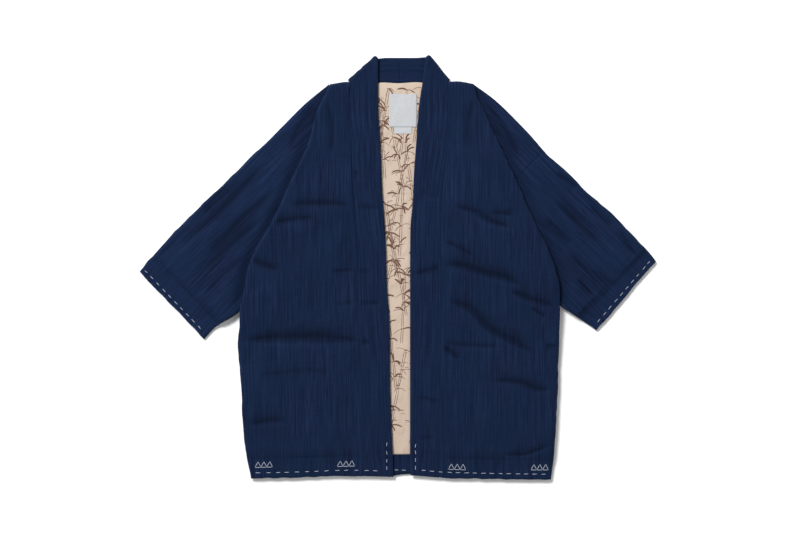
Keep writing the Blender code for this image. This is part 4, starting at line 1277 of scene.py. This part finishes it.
def bamboo_strokes():
    """A generic brushed bamboo: jointed canes that lean and cross, and small clusters of pointed leaves."""
    random = np.random.default_rng(7)
    strokes = []
    for x, y, lean in CANES:
        for _ in range(random.integers(4, 7)):
            length = random.uniform(26, 44)
            end = (x + lean * length / 60 + random.uniform(-1, 1), y + length)
            for offset in (-1.7, 1.7):
                bow = random.uniform(-0.8, 0.8)
                middle = ((x + end[0]) / 2 + offset + bow, (y + end[1]) / 2)
                strokes.append(brush_stroke([(x + offset, y), middle, (end[0] + offset, end[1])], 1.0))
            knot = [(end[0] - 3.4, end[1] + 0.8), (end[0], end[1] - 0.5), (end[0] + 3.4, end[1] + 0.9)]
            strokes.append(brush_stroke(knot, 1.8, 6))
            for _ in range(random.integers(2, 6)):
                angle = np.radians(random.uniform(-75, 75) + (90 if random.random() < 0.5 else -90))
                reach = random.uniform(12, 24)
                tip = (end[0] + reach * np.sin(angle), end[1] + reach * np.cos(angle) * 0.8)
                bend = ((end[0] + tip[0]) / 2 + random.uniform(-2, 2), (end[1] + tip[1]) / 2 + 2.5)
                strokes.append(brush_stroke([end, bend, tip], random.choice([0.9, 1.3, 2.6, 3.2]), 9))
            x, y = end[0], end[1] + 1.2
            if y > 330:
                break
    for _ in range(110):
        x, y = random.uniform(-60, 60), random.uniform(-350, 340)
        reach = random.uniform(4, 12)
        strokes.append(brush_stroke([(x, y), (x + reach / 2, y + 1.8), (x + reach, y)], 0.9, 6))
    return strokes


def print_lines(strokes, left, right, low, high):
    """The strokes that lie inside the print's area, on the lining, as lists of lines under each width."""
    sets = {}
    for line, width in strokes:
        x, y = line[:, 0], line[:, 1]
        if x.min() < left or x.max() > right or y.min() < low or y.max() > high:
            continue
        line = np.column_stack([line, lining_height(x, y) + 0.02])
        sets.setdefault(round(width, 1), []).append(line)
    return sets


class JACKET_OT_inside(bpy.types.Operator):
    """Make the lining with its print, and the hem facing"""

    bl_idname = "jacket.inside"
    bl_label = "Lining and facing"

    def execute(self, context):
        sides = (LINING_LEFT, LINING_RIGHT)
        bottom, top = flat_line(FACING_SEAM_Y + 0.2), lambda x: level(BACK_NECK, x) + 0.9
        surfaces = sheet_surfaces(sides, bottom, top, LINING_GRID, lining_height, 0.4)
        lining = add_piece("lining_sheet", *closed_slab(*surfaces), finish_named("lining cloth"))
        dress(lining, ["lining"])

        def facing_height(x, y):
            from_hem = y - level(HEM, x)
            wave = 0.3 * noise(x / 12, y / 20, 411)
            wave += pucker(np.abs(from_hem - FACING_HEIGHT), x, 412, 9, 0.5, 6)
            stitched = seam_dip(from_hem - FACING_STITCH_RISE, 0.3, 2.4)
            return inside_top(x, y) - 0.35 + np.clip(wave, -0.4, 0.5) - stitched

        bottom, top = lambda x: level(HEM, x) + 5, flat_line(FACING_SEAM_Y - 0.1)
        surfaces = sheet_surfaces(sides, bottom, top, FACING_GRID, facing_height, 0.8)
        facing = add_piece("hem_facing_sheet", *closed_slab(*surfaces), finish_named("body cotton"))
        dress(facing, ["hem_facing"])

        parts = [
            thread_mesh(lines, width / 2, 0.12 / max(width / 2, 0.2), 6)
            for width, lines in print_lines(bamboo_strokes(), *PRINT_AREA).items()
        ]
        piece = add_threads("lining_print", parts, finish_named("lining dye"), True)
        dress(piece, [])
        return {"FINISHED"}


class JACKET_OT_labels(bpy.types.Operator):
    """Make the blank main label and size tab, with the thread that holds the main label"""

    bl_idname = "jacket.labels"
    bl_label = "Labels"

    def execute(self, context):
        def on_lining(x, y):
            rest = lining_height(x, y) * 0.25 + inside_top(x, y) * 0.75
            return rest + 0.85 + 0.12 * noise(x / 13, y / 17, 421)

        left, bottom = LABEL_CENTRE_X - LABEL_WIDTH / 2, LABEL_TOP_Y - LABEL_HEIGHT
        right = left + LABEL_WIDTH
        edges = flat_line(bottom), flat_line(LABEL_TOP_Y)
        surfaces = sheet_surfaces((left, right), *edges, LABEL_GRID, on_lining, 0.6)
        label = add_piece("label_tape", *closed_slab(*surfaces), finish_named("label tape"))
        dress(label, ["label"])

        tab_left = LABEL_CENTRE_X - SIZE_TAB_WIDTH / 2
        top = bottom - SEAM_GAP
        surfaces = sheet_surfaces(
            (tab_left, tab_left + SIZE_TAB_WIDTH),
            flat_line(top - SIZE_TAB_HEIGHT),
            flat_line(top),
            SIZE_TAB_GRID,
            lambda x, y: on_lining(x, y) - 0.3,
            0.5,
        )
        tab = add_piece("size_tab_tape", *closed_slab(*surfaces), finish_named("label tape"))
        dress(tab, ["size_tab"])

        context.view_layer.update()
        paths = []
        inset = LABEL_STITCH_INSET
        low, high = bottom + inset, LABEL_TOP_Y - inset
        corners = [(left + inset, low), (right - inset, low), (right - inset, high), (left + inset, high)]
        for a, b in zip(corners, corners[1:] + corners[:1]):
            a, b = np.array(a), np.array(b)
            count = int(np.linalg.norm(b - a) / LABEL_STITCH_PITCH)
            for k in range(count):
                start, end = a + (b - a) * (k + 0.14) / count, a + (b - a) * (k + 0.86) / count
                paths.append(dash_path(start, end, 0.25, 0.08, 5))
        piece = add_threads("label_stitches", [thread_mesh(paths, 0.22, 0.7, 6)], finish_named("stitch thread"))
        dress(piece, [])
        return {"FINISHED"}


def triangle_paths(centre_x, base_y, width, slope):
    """Three outlined triangles side by side, each of three long stitches."""
    paths = []
    for number in (-1, 0, 1):
        x = centre_x + number * width
        y = base_y + number * width * slope
        left, right = (x - width * 0.5, y - width * slope / 2), (x + width * 0.5, y + width * slope / 2)
        top = (x + 0.4, y + width * 0.98)
        for a, b in ((left, top), (top, right), (right, left)):
            paths.append(dash_path(a, b, 0.8, 0.4, 9))
    return paths


class JACKET_OT_stitching(bpy.types.Operator):
    """Sew the running stitches and the triangle ornaments"""

    bl_idname = "jacket.stitching"
    bl_label = "Hand stitching"

    def execute(self, context):
        context.view_layer.update()
        _, sewing = settings()
        dash, pitch = sewing.dash / MM, sewing.pitch / MM
        radius = sewing.thickness / MM / 2

        def hem_row(x):
            return x, float(level(HEM, x)) + HEM_STITCH_RISE

        paths = row_dashes(hem_row, -283, -33, pitch * 1.09, dash, 1)
        paths += row_dashes(hem_row, 42, 294, pitch * 0.94, dash, 2)
        for x, y in FACING_DASHES:
            paths.append(dash_path((x - 4.3, y), (x + 4.3, y - 0.3)))
        for x, ys in FRONT_DASHES:
            for y, tilt in zip(ys, FRONT_DASH_TILTS):
                paths.append(dash_path((x - tilt, y - 4.2), (x + tilt, y + 4.2)))
        for side in (LEFT, RIGHT):
            ends = ARM_ENDS[side]

            def cuff_row(at):
                top = float(arm_edge(side, "top", ends.cuff_top))
                low = float(arm_edge(side, "low", ends.cuff_low))
                share = at / (low - top)
                along = ends.cuff_top + (ends.cuff_low - ends.cuff_top) * share - CUFF_STITCH_RISE
                return tuple(float(v) for v in arm_point(side, along, top + at))

            width = float(arm_edge(side, "low", ends.cuff_low) - arm_edge(side, "top", ends.cuff_top))
            paths += row_dashes(cuff_row, 2, width - 2, pitch * 0.94, dash * 0.93, 3 + side)
        width = sewing.ornament / MM
        for x, y, slope in ORNAMENTS:
            paths += triangle_paths(x, y, width, slope)
        piece = add_threads("hand_stitches", [thread_mesh(paths, radius, 0.75)], finish_named("stitch thread"))
        dress(piece, [])
        return {"FINISHED"}


class JACKET_OT_stage(bpy.types.Operator):
    """Set the pale floor, the soft lights and the camera straight above"""

    bl_idname = "jacket.stage"
    bl_label = "Stage"

    def execute(self, context):
        mesh = bpy.data.meshes.new("floor")
        reach = 4.0
        drop = -FLOOR_DROP * MM
        corners = [(-reach, -reach, drop), (reach, -reach, drop), (reach, reach, drop), (-reach, reach, drop)]
        mesh.from_pydata(corners, [], [(0, 1, 2, 3)])
        floor = bpy.data.objects.new("floor", mesh)
        finish, _, shader = blank_finish("floor paper")
        shader.inputs["Base Color"].default_value = (0.93, 0.93, 0.935, 1)
        shader.inputs["Roughness"].default_value = 0.9
        mesh.materials.append(finish)
        context.scene.collection.objects.link(floor)

        for name, place, size, power in KEY_LIGHT, FILL_LIGHT:
            data = bpy.data.lights.new(name, "AREA")
            data.shape, data.size, data.energy = "DISK", size, power
            lamp = bpy.data.objects.new(name, data)
            lamp.location = place
            lamp.rotation_euler = (-Vector(place)).to_track_quat("-Z", "Y").to_euler()
            context.scene.collection.objects.link(lamp)
        world = bpy.data.worlds.new("room")
        world.use_nodes = True
        world.node_tree.nodes["Background"].inputs[0].default_value = (1, 1, 1, 1)
        world.node_tree.nodes["Background"].inputs[1].default_value = ROOM_LIGHT
        context.scene.world = world
        context.scene.view_settings.view_transform = "Standard"

        data = bpy.data.cameras.new("above")
        data.lens, data.sensor_width = LENS, SENSOR
        camera = bpy.data.objects.new("above", data)
        height = VIEW_WIDTH * LENS / SENSOR
        camera.location = (0.0033, 0.0006, height + 0.008)
        context.scene.collection.objects.link(camera)
        context.scene.camera = camera
        return {"FINISHED"}


class JACKET_PT_panel(bpy.types.Panel):
    """Lists the jacket's pieces and settings"""

    bl_label = "Padded Kimono Jacket"
    bl_idname = "JACKET_PT_panel"
    bl_space_type = "VIEW_3D"
    bl_region_type = "UI"
    bl_category = "Jacket"

    def draw(self, context):
        for operator in OPERATORS:
            self.layout.operator(operator.bl_idname)
        for group in settings():
            for name in group.__annotations__:
                self.layout.prop(group, name)


OPERATORS = (
    JACKET_OT_back,
    JACKET_OT_fronts,
    JACKET_OT_arms,
    JACKET_OT_collar,
    JACKET_OT_inside,
    JACKET_OT_labels,
    JACKET_OT_stitching,
    JACKET_OT_stage,
)
CLASSES = (JacketColours, JacketSewing, *OPERATORS, JACKET_PT_panel)


def register():
    for cls in CLASSES:
        bpy.utils.register_class(cls)
    bpy.types.Scene.jacket_colours = bpy.props.PointerProperty(type=JacketColours)
    bpy.types.Scene.jacket_sewing = bpy.props.PointerProperty(type=JacketSewing)


def unregister():
    del bpy.types.Scene.jacket_colours, bpy.types.Scene.jacket_sewing
    for cls in reversed(CLASSES):
        bpy.utils.unregister_class(cls)


def main():
    register()
    bpy.ops.jacket.back()
    bpy.ops.jacket.fronts()
    bpy.ops.jacket.arms()
    bpy.ops.jacket.collar()
    bpy.ops.jacket.inside()
    bpy.ops.jacket.labels()
    bpy.ops.jacket.stitching()
    bpy.ops.jacket.stage()


if __name__ == "__main__":
    main()
